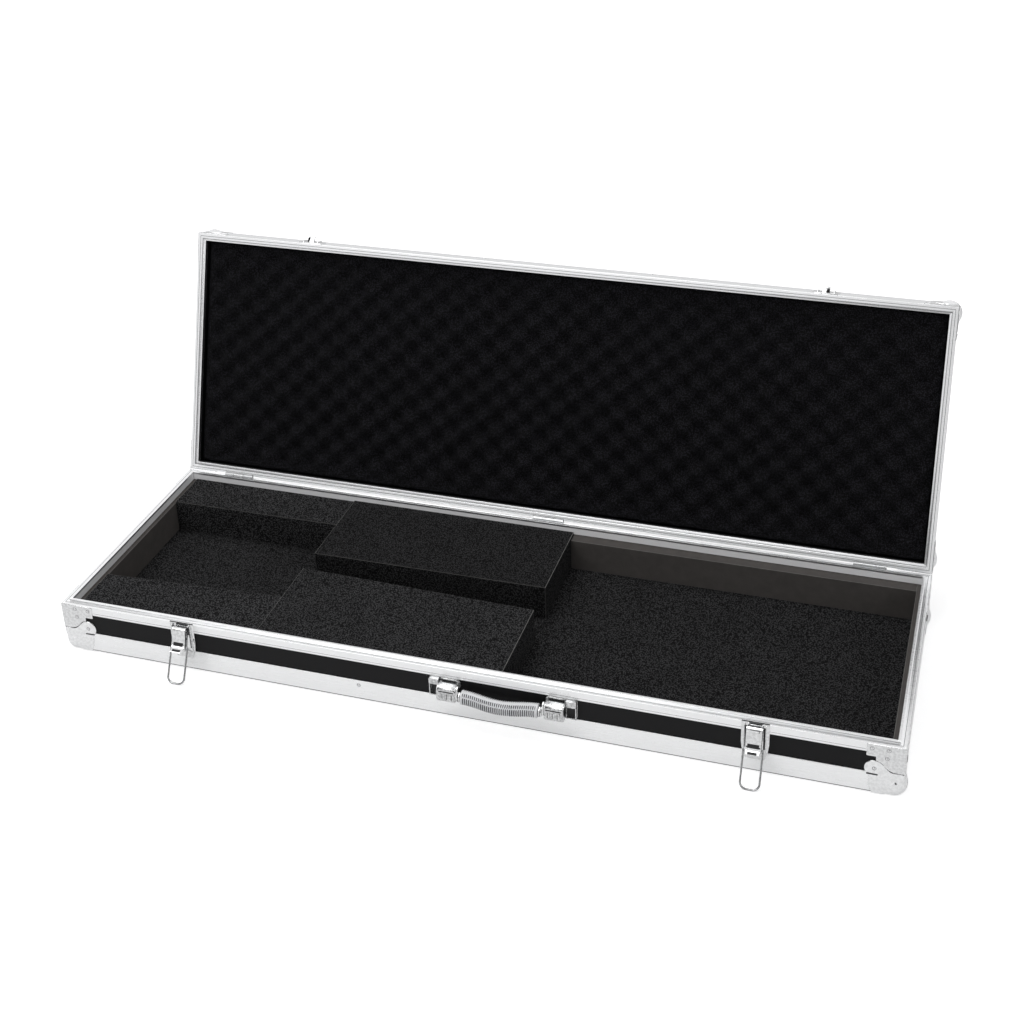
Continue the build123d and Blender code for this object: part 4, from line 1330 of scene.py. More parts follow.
@dataclass
class Latch:
    """One draw latch: plate, pin, lever, bail and keeper."""

    side: Side
    finishes: Finishes
    pivot_out: float = 7.0
    pivot_z: float = 72.0
    bail_out: float = 14.0
    bail_z: float = 46.0
    wire: float = 3.0
    spacing: float = 26.0
    length: float = 53.0
    bend: float = 9.0
    tilt: float = 26.8
    sheet: float = 1.2
    scoop_low: float = 51.2
    scoop_high: float = 56.0
    lip_out: float = 22.0
    panel_low: float = 57.2
    panel_high: float = 73.5
    panel_half: float = 0.68
    panel_lift: float = 0.75
    ear_radius: float = 3.6
    flange_radius: float = 5.1
    knee: float = 2.2
    shadow_height: float = 1.35

    @property
    def centre_x(self) -> float:
        """X of the latch's middle.

        Returns:
            Its X in millimetres.
        """
        if self.side is Side.LEFT:
            return CASE.latch_inset_left - CASE.half_length
        return CASE.half_length - CASE.latch_inset_right

    def outward(self) -> np.ndarray:
        """Placement of a plate on the front face: local X along, Y up, Z outward."""
        return frame_matrix((self.centre_x, -CASE.half_depth, 0), *FRONT_AXES)

    def sideways(self, x: float) -> np.ndarray:
        """Placement of a plate seen from the side: local X outward, Y up, Z along +X.

        Args:
            x: Distance from the latch's middle.

        Returns:
            The matrix.
        """
        return frame_matrix((self.centre_x + x, -CASE.half_depth, 0), *PROFILE_AXES)

    def build(self) -> None:
        """Make the latch."""
        side = self.side.value
        lever = Body.LEVER_LEFT if self.side is Side.LEFT else Body.LEVER_RIGHT
        bail = Body.BAIL_LEFT if self.side is Side.LEFT else Body.BAIL_RIGHT
        metal = [self.finishes.hardware, self.finishes.shadow]
        wire = [self.finishes.wire]
        pieces = (
            ("plate", self.plate(), metal, Body.BASE, 38.0),
            ("pin", self.pin(), metal, Body.BASE, 38.0),
            ("lever", self.lever(), metal, lever, 50.0),
            ("bail", self.bail(), wire, bail, 60.0),
            ("keeper", self.keeper(), metal, Body.LID, 38.0),
        )
        for name, surface, finish, body, sharp in pieces:
            node = f"latch_{name}_{side}"
            make_object(f"latch_{side}_{name}", surface, finish, body, [node], sharp)

    def plate(self) -> Surface:
        """The base plate: vase-shaped, with raised side flanges, two ears and a slot in painted shadow.

        Returns:
            The surface.
        """
        outline = rounded_outline(
            [(-13.5, 20.0, 3.0), (13.5, 20.0, 3.0), (17.5, 34.0, 20.0), (19.0, 46.0, 20.0), (19.0, 80.5, 1.2),
             (-19.0, 80.5, 1.2), (-19.0, 46.0, 20.0), (-17.5, 34.0, 20.0)], 6
        )
        out = self.outward()
        parts = [plate(outline, self.sheet, 0.4).moved(out)]
        seat_outline = [(-17.0, 36.0, 1), (17.0, 36.0, 1), (17.0, 64.2, 0.2), (-17.0, 64.2, 0.2)]
        seat = plate(rounded_outline(seat_outline, 3), SEAT, 0.1, 1)
        parts.append(seat.moved(out @ moved_by(z=-SEAT)))
        rail = rounded_outline(
            [(1.0, 24.0, 0.3), (2.6, 24.6, 1.2), (4.4, 46.0, 10.0), (4.6, 76.0, 1.4), (1.0, 78.5, 0.5)], 4
        )
        for rail_x, ear_x in ((-15.2, -9.2), (14.2, 8.0)):
            parts.append(plate(rail, 1.0, 0.3, 2, True).moved(self.sideways(rail_x)))
            parts.append(plate(self.ear(), self.sheet, 0.25, 2, True).moved(self.sideways(ear_x)))
        # The slot, two strips inside the flanges and a line along the plate's top are thin plates of painted
        # shadow.
        slot = plate(rounded_box(-8.6, 77.2, 8.6, 79.4, 0.6, 3), self.shadow_height, 0.05, 1)
        for x in (-13.9, 10.9):
            strip = rounded_box(x, 38.0, x + 2.6, 74.0, 0.4, 2)
            parts.append(painted(plate(strip, self.shadow_height, 0.05, 1).moved(out), 1))
        line = plate(rounded_box(-18.6, 80.0, 18.6, 80.9, 0.1, 2), self.shadow_height + 0.05, 0.05, 1)
        return joined(parts + [painted(slot.moved(out), 1), painted(line.moved(out), 1)])

    def ear(self) -> np.ndarray:
        """Outline of one lever ear in (out, up).

        Returns:
            The outline: a foot on the plate and a half circle round the pin.
        """
        out = self.pivot_out
        up = self.pivot_z
        r = self.ear_radius
        lower = [(0.6, up - r - 6.0), (out, up - r)]
        upper = [(out, up + r), (out - 2.2, up + 2.6), (out - 3.4, up + 1.0), (0.6, up + 1.0)]
        return np.vstack((lower, arc((out, up), r, -75, 75, 11), upper))

    def pin(self) -> Surface:
        """The lever's pin with a small dome at each end.

        Returns:
            The surface.
        """
        profile = [(0.0, -11.2), (0.9, -11.1), (1.5, -10.7), (1.5, 10.7), (0.9, 11.1), (0.0, 11.2)]
        origin = (self.centre_x, -CASE.half_depth - self.pivot_out, self.pivot_z)
        return lathe(profile, 16).moved(frame_matrix(origin, (0, 1, 0), (0, 0, 1), (1, 0, 0)))

    def lever(self) -> Surface:
        """The lever: its bent sheet, and at each side a flange with three pin heads in painted shadow.

        Returns:
            The surface.
        """
        parts = [self.lever_sheet()]
        spots = ((self.pivot_out, self.pivot_z, 2.7), (10.6, 60.5, 1.8), (15.4, 50.2, 1.5))
        for sign, x in ((-1, -10.7), (1, 9.5)):
            parts.append(plate(self.flange(), self.sheet, 0.3, 2, True).moved(self.sideways(x)))
            for out, up, radius in spots:
                origin = (self.centre_x + sign * 10.6, -CASE.half_depth - out, up)
                place = frame_matrix(origin, (0, sign, 0), (0, 0, 1), (sign, 0, 0))
                disc = lathe([(0.0, 0.0), (radius, 0.0), (radius, 0.22), (0.0, 0.25)], 16)
                parts.append(painted(disc.moved(place), 1))
        return joined(parts)

    def lever_sheet(self) -> Surface:
        """The lever's sheet: a curl over the pin, a sloping face with a raised panel, a scoop and a lip.

        A curve in (out, up) is given a thickness and carried across the latch; its half-width
        narrows a little towards the lip. The panel is raised by the product of a soft step along
        the curve and one across it. The scoop and the lip's inside are dark as a painted reflection,
        and the rear is painted shadow.

        Returns:
            The surface.
        """
        line = np.array(
            [(7.3, 77.15), (9.4, 76.6), (11.0, 75.2), (11.8, 73.0), (12.3, 69.5), (13.1, 64.5), (14.0, 60.0),
             (14.9, 56.4), (16.2, 53.3), (18.2, 50.9), (20.6, 49.2), (23.0, 48.0), (25.2, 47.0), (26.6, 46.9),
             (27.1, 47.6)]
        )
        half = [10.7] * 8 + [10.6, 10.2, 9.6, 9.0, 8.6, 8.4, 8.4]
        total = 57
        base = np.arange(len(line))
        dense = np.linspace(0, len(line) - 1, total)
        outer = np.column_stack((np.interp(dense, base, line[:, 0]), np.interp(dense, base, line[:, 1])))
        for _ in range(3):
            outer[1:-1] = 0.25 * outer[:-2] + 0.5 * outer[1:-1] + 0.25 * outer[2:]
        width = np.interp(dense, base, np.array(half))
        tangent = np.gradient(outer, axis=0)
        tangent /= np.linalg.norm(tangent, axis=1, keepdims=True)
        normal = np.column_stack((-tangent[:, 1], tangent[:, 0]))
        n = 25
        across = np.linspace(-1, 1, n)
        inside = 1 / (1 + np.exp((np.abs(across) - self.panel_half) * 28))
        upper = 1 / (1 + np.exp((outer[:, 1] - self.panel_high) * 1.6))
        share = upper / (1 + np.exp((self.panel_low - outer[:, 1]) * 1.6))
        lift = self.panel_lift * share[:, None] * inside[None, :]
        xs = width[:, None] * across[None, :]
        face = outer[:, None, :] + normal[:, None, :] * lift[..., None]
        rear = np.broadcast_to((outer - normal * self.sheet)[:, None, :], face.shape)
        both = np.stack((face, rear), axis=1)
        grid = np.concatenate((both, np.stack((xs, xs), axis=1)[..., None]), axis=-1).reshape(-1, 3)
        index = np.arange(2 * total * n).reshape(total, 2, n)
        top = index[:, 0]
        low = index[:, 1]
        # Faces in the scoop's band and past the lip's bend take the shadow finish as a painted dark
        # reflection; all rear faces take it as painted shadow.
        scoop = (outer[:-1, 1] > self.scoop_low) & (outer[:-1, 1] < self.scoop_high)
        scoop |= outer[:-1, 0] > self.lip_out
        inner = (np.arange(n - 1) > 2) & (np.arange(n - 1) < n - 4)
        groups = (
            ((top[:-1, :-1], top[:-1, 1:], top[1:, 1:], top[1:, :-1]), (scoop[:, None] & inner).astype(int)),
            ((low[:-1, :-1], low[1:, :-1], low[1:, 1:], low[:-1, 1:]), np.ones((total - 1, n - 1), int)),
            ((top[:-1, 0], top[1:, 0], low[1:, 0], low[:-1, 0]), np.zeros(total - 1, int)),
            ((top[:-1, -1], low[:-1, -1], low[1:, -1], top[1:, -1]), np.zeros(total - 1, int)),
            ((top[0, :-1], low[0, :-1], low[0, 1:], top[0, 1:]), np.zeros(n - 1, int)),
            ((top[-1, :-1], low[-1, :-1], low[-1, 1:], top[-1, 1:]), np.zeros(n - 1, int)),
        )
        faces: list[tuple[int, ...]] = []
        marks: list[int] = []
        for corners, painted_tones in groups:
            faces += [tuple(quad) for quad in np.stack(corners, axis=-1).reshape(-1, 4).tolist()]
            marks += painted_tones.reshape(-1).tolist()
        return Surface(grid, faces, marks).moved(self.sideways(0.0))

    def flange(self) -> np.ndarray:
        """Outline of the lever's side flange in (out, up).

        Returns:
            The outline: up the face, round the pin and down the rear.
        """
        front = [(17.2, 43.4), (18.5, 46.0), (18.6, 50.6), (15.3, 56.2), (13.2, 65.0), (12.1, 72.9)]
        over = arc((self.pivot_out, self.pivot_z), self.flange_radius, 10, 170, 11)
        rear = [(2.1, 70.6), (4.6, 62.0), (10.9, 44.2), (12.2, 42.8), (14.0, 42.3), (15.8, 42.6)]
        return np.vstack((front, over, rear))

    def bail(self) -> Surface:
        """The wire bail: a stub through each flange, two legs and a rounded end.

        Half the wire's line is laid out in (across, up) from the pivot and mirrored.

        Returns:
            The surface.
        """
        half = self.spacing / 2
        knee = self.knee
        stub = [(-8.4, 0.0), (-half + knee + 0.3, 0.0)]
        shoulder = arc((-half + knee, -knee), knee, 105, 180, 6)
        leg = [(-half, -self.length * 0.4)]
        end = arc((-half + self.bend, -self.length + self.bend), self.bend, 180, 270, 13)
        path = np.vstack((stub, shoulder, leg, end))
        full = np.vstack((path, path[::-1] * (-1, 1)))
        full = np.column_stack((full[:, 0], np.zeros(len(full)), full[:, 1]))
        wire = tube(full, np.full(len(full), self.wire / 2), 14)
        place = moved_by(self.centre_x, -CASE.half_depth - self.bail_out, self.bail_z)
        return wire.moved(place @ turned_by(-self.tilt))

    def keeper(self) -> Surface:
        """The keeper: a plate with two raised ribs and the upturned hook.

        Returns:
            The surface.
        """
        out = self.outward()
        outline = rounded_outline(
            [(-20, 85.0, 2.0), (20, 85.0, 2.0), (20, 108, 4.0), (16, 110, 4.0), (-16, 110, 4.0),
             (-20, 108, 4.0)], 5
        )
        parts = [plate(outline, self.sheet, 0.4).moved(out)]
        hook = np.array(
            [(0.6, 89.3), (8.4, 91.6), (9.7, 92.4), (10.2, 93.8), (10.2, 98.3), (9.9, 98.8), (9.3, 98.8),
             (9.0, 98.3), (9.0, 95.9), (8.8, 95.6), (0.6, 95.6)]
        )
        parts.append(plate(hook, 11.0, 0.3, 2, True).moved(self.sideways(-5.5)))
        rib = np.array([(0.6, 87.0), (3.4, 88.0), (3.9, 90.0), (3.9, 103.0), (3.2, 105.5), (0.6, 107.0)])
        for x in (-13.5, 11.5):
            parts.append(plate(rib, 2.0, 0.4, 2, True).moved(self.sideways(x)))
        return joined(parts).moved(LID_OPEN)


@dataclass
class Handle:
    """The carry handle: two brackets, their pins, and the ribbed grip on its two arms."""

    finishes: Finishes
    centre_x: float = 73.3
    bracket_x: float = 84.7
    pivot_out: float = 10.0
    pivot_z: float = 55.15
    arm_end: float = 63.9
    arm: float = 2.8
    arm_radius: float = 5.0
    grip_half: float = 56.0
    grip_out: float = 13.0
    grip_z: float = 46.15
    bow_out: float = 3.5
    bow_drop: float = 4.0
    radius: float = 10.3
    collar: float = 7.5
    rib_pitch: float = 3.0
    seam_angle: float = 0.63
    rib_depth: float = 1.5

    def build(self) -> None:
        """Make the handle."""
        metal = [self.finishes.cast, self.finishes.shadow]
        for name, sign in (("left", -1), ("right", 1)):
            node = f"handle_bracket_{name}"
            make_object(f"handle_{name}_bracket", self.bracket(sign), metal, Body.BASE, [node])
        make_object("handle_pin_pair", self.pins(), metal, Body.BASE, ["handle_pins"])
        bar = [self.finishes.grip, self.finishes.hardware, self.finishes.shadow, self.finishes.groove]
        make_object("handle_ribbed_grip", self.grip(), bar, Body.HANDLE, ["handle_grip"], 60.0)

    def bracket(self, sign: int) -> Surface:
        """One bracket: a pointed flange with a slot, a hollow body and an open pocket beside it.

        Args:
            sign: -1 for the left bracket, 1 for the right.

        Returns:
            The surface.
        """
        face = CASE.half_depth
        flange = rounded_outline(
            [(-23.0, 32.9, 2.5), (15.0, 32.9, 2.0), (23.0, 54.0, 3.0), (22.0, 61.0, 3.0), (18.5, 64.0, 2.0),
             (-23.0, 64.0, 2.5)], 5
        )
        on_panel = frame_matrix((0, SEAT - face, 0), *FRONT_AXES)
        on_flange = frame_matrix((0, 0.3 - face, 0), *FRONT_AXES)
        parts = [plate(flange, 1.2, 0.35).moved(on_panel)]
        # The slot, the seam, the gaps between the ribs and the pocket's floor are thin plates of painted
        # shadow.
        slot = rounded_box(-5.0, 58.8, 17.0, 61.5, 0.8, 4)
        parts.append(painted(plate(slot, 0.25, 0.05, 1).moved(on_flange), 1))
        lip = rounded_outline([(-3.5, 61.6, 0.6), (19.0, 61.6, 0.6), (18.0, 63.8, 1.0), (-3.5, 63.8, 0.6)], 4)
        parts.append(plate(lip, 1.5, 0.5).moved(on_flange))
        end = rounded_outline([(18.0, 57.0, 0.8), (21.5, 56.0, 1.0), (21.4, 61.2, 1.0), (18.4, 63.4, 1.0)], 4)
        parts.append(plate(end, 1.3, 0.4).moved(on_flange))
        cheek = rounded_outline(
            [(0.2, 36.2, 0.5), (15.5, 36.2, 2.5), (17.0, 40.0, 3.0), (17.0, 54.0, 4.5), (12.5, 58.8, 3.5),
             (0.2, 58.8, 0.5)], 5
        )
        wall = plate(cheek, 2.0, 0.35, 2, True)
        for x in (-7.5, 18.5):
            parts.append(wall.moved(frame_matrix((x, -face, 0), *PROFILE_AXES)))
        skin = np.array([(0.2, 57.0), (0.2, 58.8), (12.3, 58.8), (14.9, 57.6), (16.5, 55.4), (17.0, 53.4),
                         (17.0, 37.5), (16.3, 36.4), (15.2, 36.4), (15.2, 53.0), (14.4, 55.2), (12.2, 57.0)])
        middle = frame_matrix((-6.0, -face, 0), *PROFILE_AXES)
        parts.append(plate(skin, 25.0, 0.2, 2, True).moved(middle))
        on_body = frame_matrix((0, -face - 16.85, 0), *FRONT_AXES)
        seam = rounded_box(-4.0, 51.6, 18.0, 53.5, 0.4, 3)
        parts.append(painted(plate(seam, 0.25, 0.05, 1).moved(on_body), 1))
        for x in (-2.5, 4.5, 11.5):
            rib = rounded_box(x, 39.0, x + 2.6, 50.0, 0.8, 3)
            parts.append(plate(rib, 0.9, 0.35, 2).moved(on_body))
            gap = rounded_box(x + 3.3, 40.0, x + 4.1, 49.0, 0.3, 2)
            parts.append(painted(plate(gap, 0.22, 0.05, 1).moved(on_body), 1))
        cap_outline = [(-22.6, 53.5, 1.5), (-7.6, 53.5, 0.5), (-7.6, 63.6, 0.5), (-22.6, 63.6, 2.0)]
        cap = rounded_outline(cap_outline, 4)
        parts.append(plate(cap, 6.0, 0.8).moved(on_flange))
        pocket_outline = [(-20.6, 36.0, 1.0), (-7.8, 36.0, 0.5), (-7.8, 53.4, 0.5), (-20.6, 53.4, 0.5)]
        pocket = rounded_outline(pocket_outline, 3)
        parts.append(painted(plate(pocket, 0.25, 0.05, 1).moved(on_flange), 1))
        for low, high, left_x, right_x in ((34.0, 53.5, -22.6, -20.8), (34.0, 35.8, -22.6, -7.6)):
            frame_bar = rounded_box(left_x, low, right_x, high, 0.5, 3)
            parts.append(plate(frame_bar, 5.0, 0.4).moved(on_flange))
        place = moved_by(self.centre_x + sign * self.bracket_x)
        place[0, 0] = -float(sign)
        return joined(parts).moved(place)

    def pins(self) -> Surface:
        """Both pins, from inside each bracket through the grip's arm.

        Returns:
            The surface.
        """
        profile = [(0.0, -7.4), (2.5, -7.4), (2.5, 23.3), (2.2, 23.6), (0.0, 23.6)]
        out = []
        for sign in (-1, 1):
            origin = (self.centre_x + sign * self.bracket_x, -CASE.half_depth - self.pivot_out, self.pivot_z)
            place = frame_matrix(origin, (0, 1, 0), (0, 0, -sign), (-sign, 0, 0))
            out.append(lathe(profile, 20).moved(place))
        return joined(out)

    def grip(self) -> Surface:
        """The grip: a bowed bar with two rows of fine ribs, a smooth ridge on top, collars and arms.

        The centre line bows outward and down by a raised cosine. Its radius loses a rounded groove
        every pitch, half a pitch apart in the upper and the lower row, and loses nothing on the
        ridge and on the line between the rows.

        Returns:
            The surface.
        """
        count = 8 * int(2 * self.grip_half / self.rib_pitch) + 1
        sides = 56
        x = np.linspace(-self.grip_half, self.grip_half, count)[:, None]
        turn = (2 * math.pi * np.arange(sides) / sides)[None, :]
        bow = 0.5 + 0.5 * np.cos(math.pi * x / self.grip_half)
        lower = 1 / (1 + np.exp(np.sin(turn - self.seam_angle) * 30.0))
        groove = 0.5 - 0.5 * np.cos(2 * math.pi * (x / self.rib_pitch + 0.5 * np.round(lower)))
        ridge = np.exp(-((np.degrees(np.arccos(np.clip(np.sin(turn), -1, 1))) / 19.0) ** 6))
        line = np.exp(-((np.sin(turn - self.seam_angle) / 0.08) ** 2))
        ends = 1 / (1 + np.exp((np.abs(x) - self.grip_half + 3.0) * 3.0))
        radius = self.radius - self.rib_depth * groove**1.5 * (1 - ridge) * (1 - line) * ends
        radius = radius - 0.9 * np.clip((np.abs(x) - self.grip_half + 1.0), 0, 1) ** 2
        out = self.grip_out + self.bow_out * bow + radius * np.cos(turn)
        up = self.grip_z - self.bow_drop * bow + radius * np.sin(turn)
        points = np.stack((np.broadcast_to(x, out.shape), -out, up), axis=-1).reshape(-1, 3)
        depth = groove * (1 - ridge) * (1 - line) * ends
        middle = 0.25 * (depth[:-1] + depth[1:] + np.roll(depth, -1, 1)[:-1] + np.roll(depth, -1, 1)[1:])
        # Faces deep in the rib grooves take the dark groove finish: painted shade.
        marks = np.where(middle.reshape(-1) > 0.45, 3, 0).tolist() + [0, 0]
        parts = [Surface(points, ring_faces(count, sides), marks)]
        for sign in (-1, 1):
            parts += self.arm_end_parts(sign)
        return joined(parts).moved(moved_by(self.centre_x, -CASE.half_depth))

    def arm_end_parts(self, sign: int) -> list[Surface]:
        """The collar, its two grooves in painted shadow, and the arm at one end of the grip.

        Args:
            sign: -1 for the left end, 1 for the right.

        Returns:
            The surfaces, in the handle's own X and the case's Y and Z.
        """
        origin = (sign * (self.grip_half - 0.5), -self.grip_out, self.grip_z)
        place = frame_matrix(origin, (0, 1, 0), (0, 0, 1), (float(sign), 0, 0))
        length = self.arm_end - self.arm - self.grip_half + 0.5
        r = self.collar
        profile = [(0.0, 0.0), (r - 0.5, 0.0), (r, 0.5), (r, length - 0.4), (r - 0.4, length), (0.0, length)]
        collar = lathe(profile, 36)
        parts = [painted(collar.moved(place), 1)]
        for height in (0.9, 3.4):
            over = r + 0.08
            ring = lathe([(0.0, height), (over, height), (over, height + 0.9), (0.0, height + 0.9)], 36)
            parts.append(painted(ring.moved(place), 2))
        turn = np.radians(np.linspace(0, 180, 15))
        rise = np.array((self.pivot_out - self.grip_out, self.pivot_z - self.grip_z))
        rise /= np.linalg.norm(rise)
        across = np.array((rise[1], -rise[0]))
        top = np.array((self.pivot_out, self.pivot_z))
        foot = np.array((self.grip_out, self.grip_z))
        cosine = np.cos(turn)[:, None]
        sine = np.sin(turn)[:, None]
        upper = top + self.arm_radius * (across * cosine + rise * sine)
        lower = foot - self.arm_radius * (across * cosine + rise * sine)
        start = self.arm_end - self.arm if sign > 0 else -self.arm_end
        side = frame_matrix((start, 0, 0), *PROFILE_AXES)
        parts.append(painted(plate(np.vstack((upper, lower)), self.arm, 0.4, 2, True).moved(side), 1))
        return parts


@dataclass
class Lining:
    """Foam floor, blocks and wall liners of the base, and the lid's egg-crate foam."""

    finishes: Finishes
    lid_gap: float = 2.0
    lid_rim: float = 12.0
    face_z: float = 86.0
    back_z: float = 114.5
    pitch_x: float = 50.5
    pitch_y: float = 45.5
    phase_x: float = 46.0
    phase_y: float = 7.5
    bump_height: float = 15.0
    grid: float = 2.4

    def build(self) -> None:
        # Painted light: each block is a lighter or darker copy of one foam, by how the light falls on it.
        painted_tones = {"floor_foam": 1.1, "headstock_block_rear": 1.4, "headstock_block_front": 1.6,
                 "neck_block_rear": 0.85, "neck_block_front": 1.4}
        pieces: list[bpy.types.Object] = []
        for name, lit_tone in painted_tones.items():
            foam = self.finishes.block(name, lit_tone)
            pieces += dress([name], foam, Body.BASE, 0.8, 2, self.finishes.cut_edge_highlight)
        finishes = self.finishes
        pieces += dress(["wall_liners"], finishes.liner, Body.BASE, 0.6, 2, finishes.liner_edge)
        pieces.append(self.lid_sheet())

    def lid_sheet(self) -> bpy.types.Object:
        """The egg-crate sheet.

        Its face height is the product of a cosine along X and one along Y, so that peaks stand in
        staggered rows that wander a little, levelled off and drawn down to the sheet's edges; the
        back is flat.

        Returns:
            The object.
        """
        u = self.lid_rim + self.lid_gap
        half_x = CASE.half_length - u
        half_y = CASE.half_depth - u
        nx = int(2 * half_x / self.grid)
        ny = int(2 * half_y / self.grid)
        xs = np.linspace(-half_x, half_x, nx + 1)
        ys = np.linspace(-half_y, half_y, ny + 1)
        gx, gy = np.meshgrid(xs, ys, indexing="ij")
        drift = 3.0 * np.sin(gy / 41.0 + gx / 97.0)
        a = 2 * math.pi * (gx - self.phase_x + drift) / self.pitch_x
        b = 2 * math.pi * (gy - self.phase_y + 2.5 * np.sin(gx / 63.0)) / self.pitch_y
        edge = np.minimum(half_x - np.abs(gx), half_y - np.abs(gy))
        level = 1 - np.exp(-((edge / 9.0) ** 2))
        wave = 0.5 + 0.5 * np.cos(a) * np.cos(b) * level
        fade = 1 - np.exp(-edge / 4.0)
        height = self.face_z + self.bump_height * (1 - wave) + 3.0 * (1 - fade)
        front = np.stack((gx, gy, height), axis=-1).reshape(-1, 3)
        back = np.stack((gx, gy, np.full_like(gx, self.back_z)), axis=-1).reshape(-1, 3)
        index = np.arange((nx + 1) * (ny + 1)).reshape(nx + 1, ny + 1)
        quads = np.stack((index[:-1, :-1], index[:-1, 1:], index[1:, 1:], index[1:, :-1]), axis=-1)
        quads = quads.reshape(-1, 4)
        ring = np.concatenate((index[:, 0], index[nx, 1:], index[nx - 1::-1, ny], index[0, ny - 1:0:-1]))
        rear = len(front) + np.arange(len(ring))
        walls = np.column_stack((ring, np.roll(ring, -1), np.roll(rear, -1), rear))
        points = np.vstack((front, back[ring]))
        faces: list[tuple[int, ...]] = [tuple(face) for face in np.vstack((quads, walls)).tolist()]
        faces.append(tuple(rear.tolist()))
        sheet = Surface(points, faces).moved(LID_OPEN)
        return make_object(
            "lid_foam_sheet", sheet, [self.finishes.lid_foam], Body.LID, ["lid_foam"], 60.0
        )


@dataclass
class Rivets:
    """Domed rivet heads on braces, corners, hinges and angles."""

    finishes: Finishes
    radius: float = 2.4
    height: float = 1.0
    sheet: float = 1.2
    rim_gap: float = 0.3
    ear: float = 38.5
    ear_step: float = 1.2
    front_spot: tuple[float, float] = (-144.0, 23.8)
    lid_xs: tuple[float, float] = (-127.0, 150.0)
    lid_drop: float = 8.0
    hinge_xs: tuple[float, float, float] = (-528.0, 20.0, 529.0)
    hinge_spread: float = 17.0
    hinge_rise: float = 21.5

    def head(self) -> Surface:
        """One domed head with a small dimple, standing on local Z = 0, with a ring of painted shadow at its
        foot.

        Returns:
            The surface.
        """
        r = self.radius
        h = self.height
        profile = [(0.0, 0.0), (r, 0.0), (r, 0.12 * h), (0.93 * r, 0.42 * h), (0.78 * r, 0.7 * h),
                   (0.55 * r, 0.9 * h), (0.34 * r, h), (0.24 * r, 0.96 * h), (0.16 * r, 0.7 * h),
                   (0.0, 0.62 * h)]
        ring = lathe([(0.0, 0.0), (r + 0.5, 0.0), (r + 0.5, 0.16), (0.0, 0.18)], 18)
        return joined([lathe(profile, 18), painted(ring, 1)])

    def corner_heads(
        self, spots: Sequence[tuple[float, float]], x_sign: int, y_sign: int, sunk: float = 0.0
    ) -> list[Surface]:
        """Heads at the same (along, up) spots on both faces of one corner.

        Args:
            spots: Distance along from the corner and height.
            x_sign: -1 for the left end, 1 for the right.
            y_sign: -1 for the front, 1 for the back.
            sunk: How far the sheet there lies below the plates' outer faces.

        Returns:
            The heads.
        """
        out = []
        head = self.head()
        place = Corners.mirror(x_sign, y_sign)
        for along, up in spots:
            front = frame_matrix((along, sunk - self.sheet, up), *FRONT_AXES)
            left = frame_matrix((sunk - self.sheet, along, up), *LEFT_AXES)
            out.append(head.moved(place @ front))
            out.append(head.moved(place @ left))
        return out

    def face_head(self, x: float, up: float, out: float, back: bool) -> Surface:
        """A head on the front or the back face.

        Args:
            x: Place along the case.
            up: Height.
            out: Distance out from the face.
            back: Whether it is the back face.

        Returns:
            The head.
        """
        sign = 1.0 if back else -1.0
        origin = (x, sign * (CASE.half_depth + out), up)
        place = frame_matrix(origin, (-sign, 0, 0), (0, 0, 1), (0, sign, 0))
        return self.head().moved(place)

    def build(self) -> None:
        """Make every head."""
        base: list[Surface] = []
        lid: list[Surface] = []
        top = CASE.base_height - self.rim_gap
        low = CASE.base_height + self.rim_gap
        for x_sign in (-1, 1):
            for y_sign in (-1, 1):
                spots = [(43.0, top - 6.9), (21.5, top - 6.9), (23.0, top - 20.2)]
                base += self.corner_heads(spots, x_sign, y_sign)
                base += self.corner_heads([(self.ear, self.ear)], x_sign, y_sign, self.ear_step)
                lid += self.corner_heads([(42.5, low + 8.0), (21.0, low + 8.0)], x_sign, y_sign)
        base.append(self.face_head(*self.front_spot, 0.0, False))
        for x in self.lid_xs:
            lid.append(self.face_head(x, CASE.closed_top - self.lid_drop, 0.0, False))
        for hinge_x in self.hinge_xs:
            for x in (hinge_x - self.hinge_spread, hinge_x + self.hinge_spread):
                base.append(self.face_head(x, CASE.base_height - self.hinge_rise, self.sheet, True))
                lid.append(self.face_head(x, CASE.base_height + self.hinge_rise, self.sheet, True))
        make_object(
            "base_rivet_heads", joined(base), [self.finishes.hardware, self.finishes.line], Body.BASE,
            ["base_rivets"], 50.0
        )
        make_object(
            "lid_rivet_heads", joined(lid).moved(LID_OPEN), [self.finishes.hardware, self.finishes.line],
            Body.LID, ["lid_rivets"], 50.0,
        )


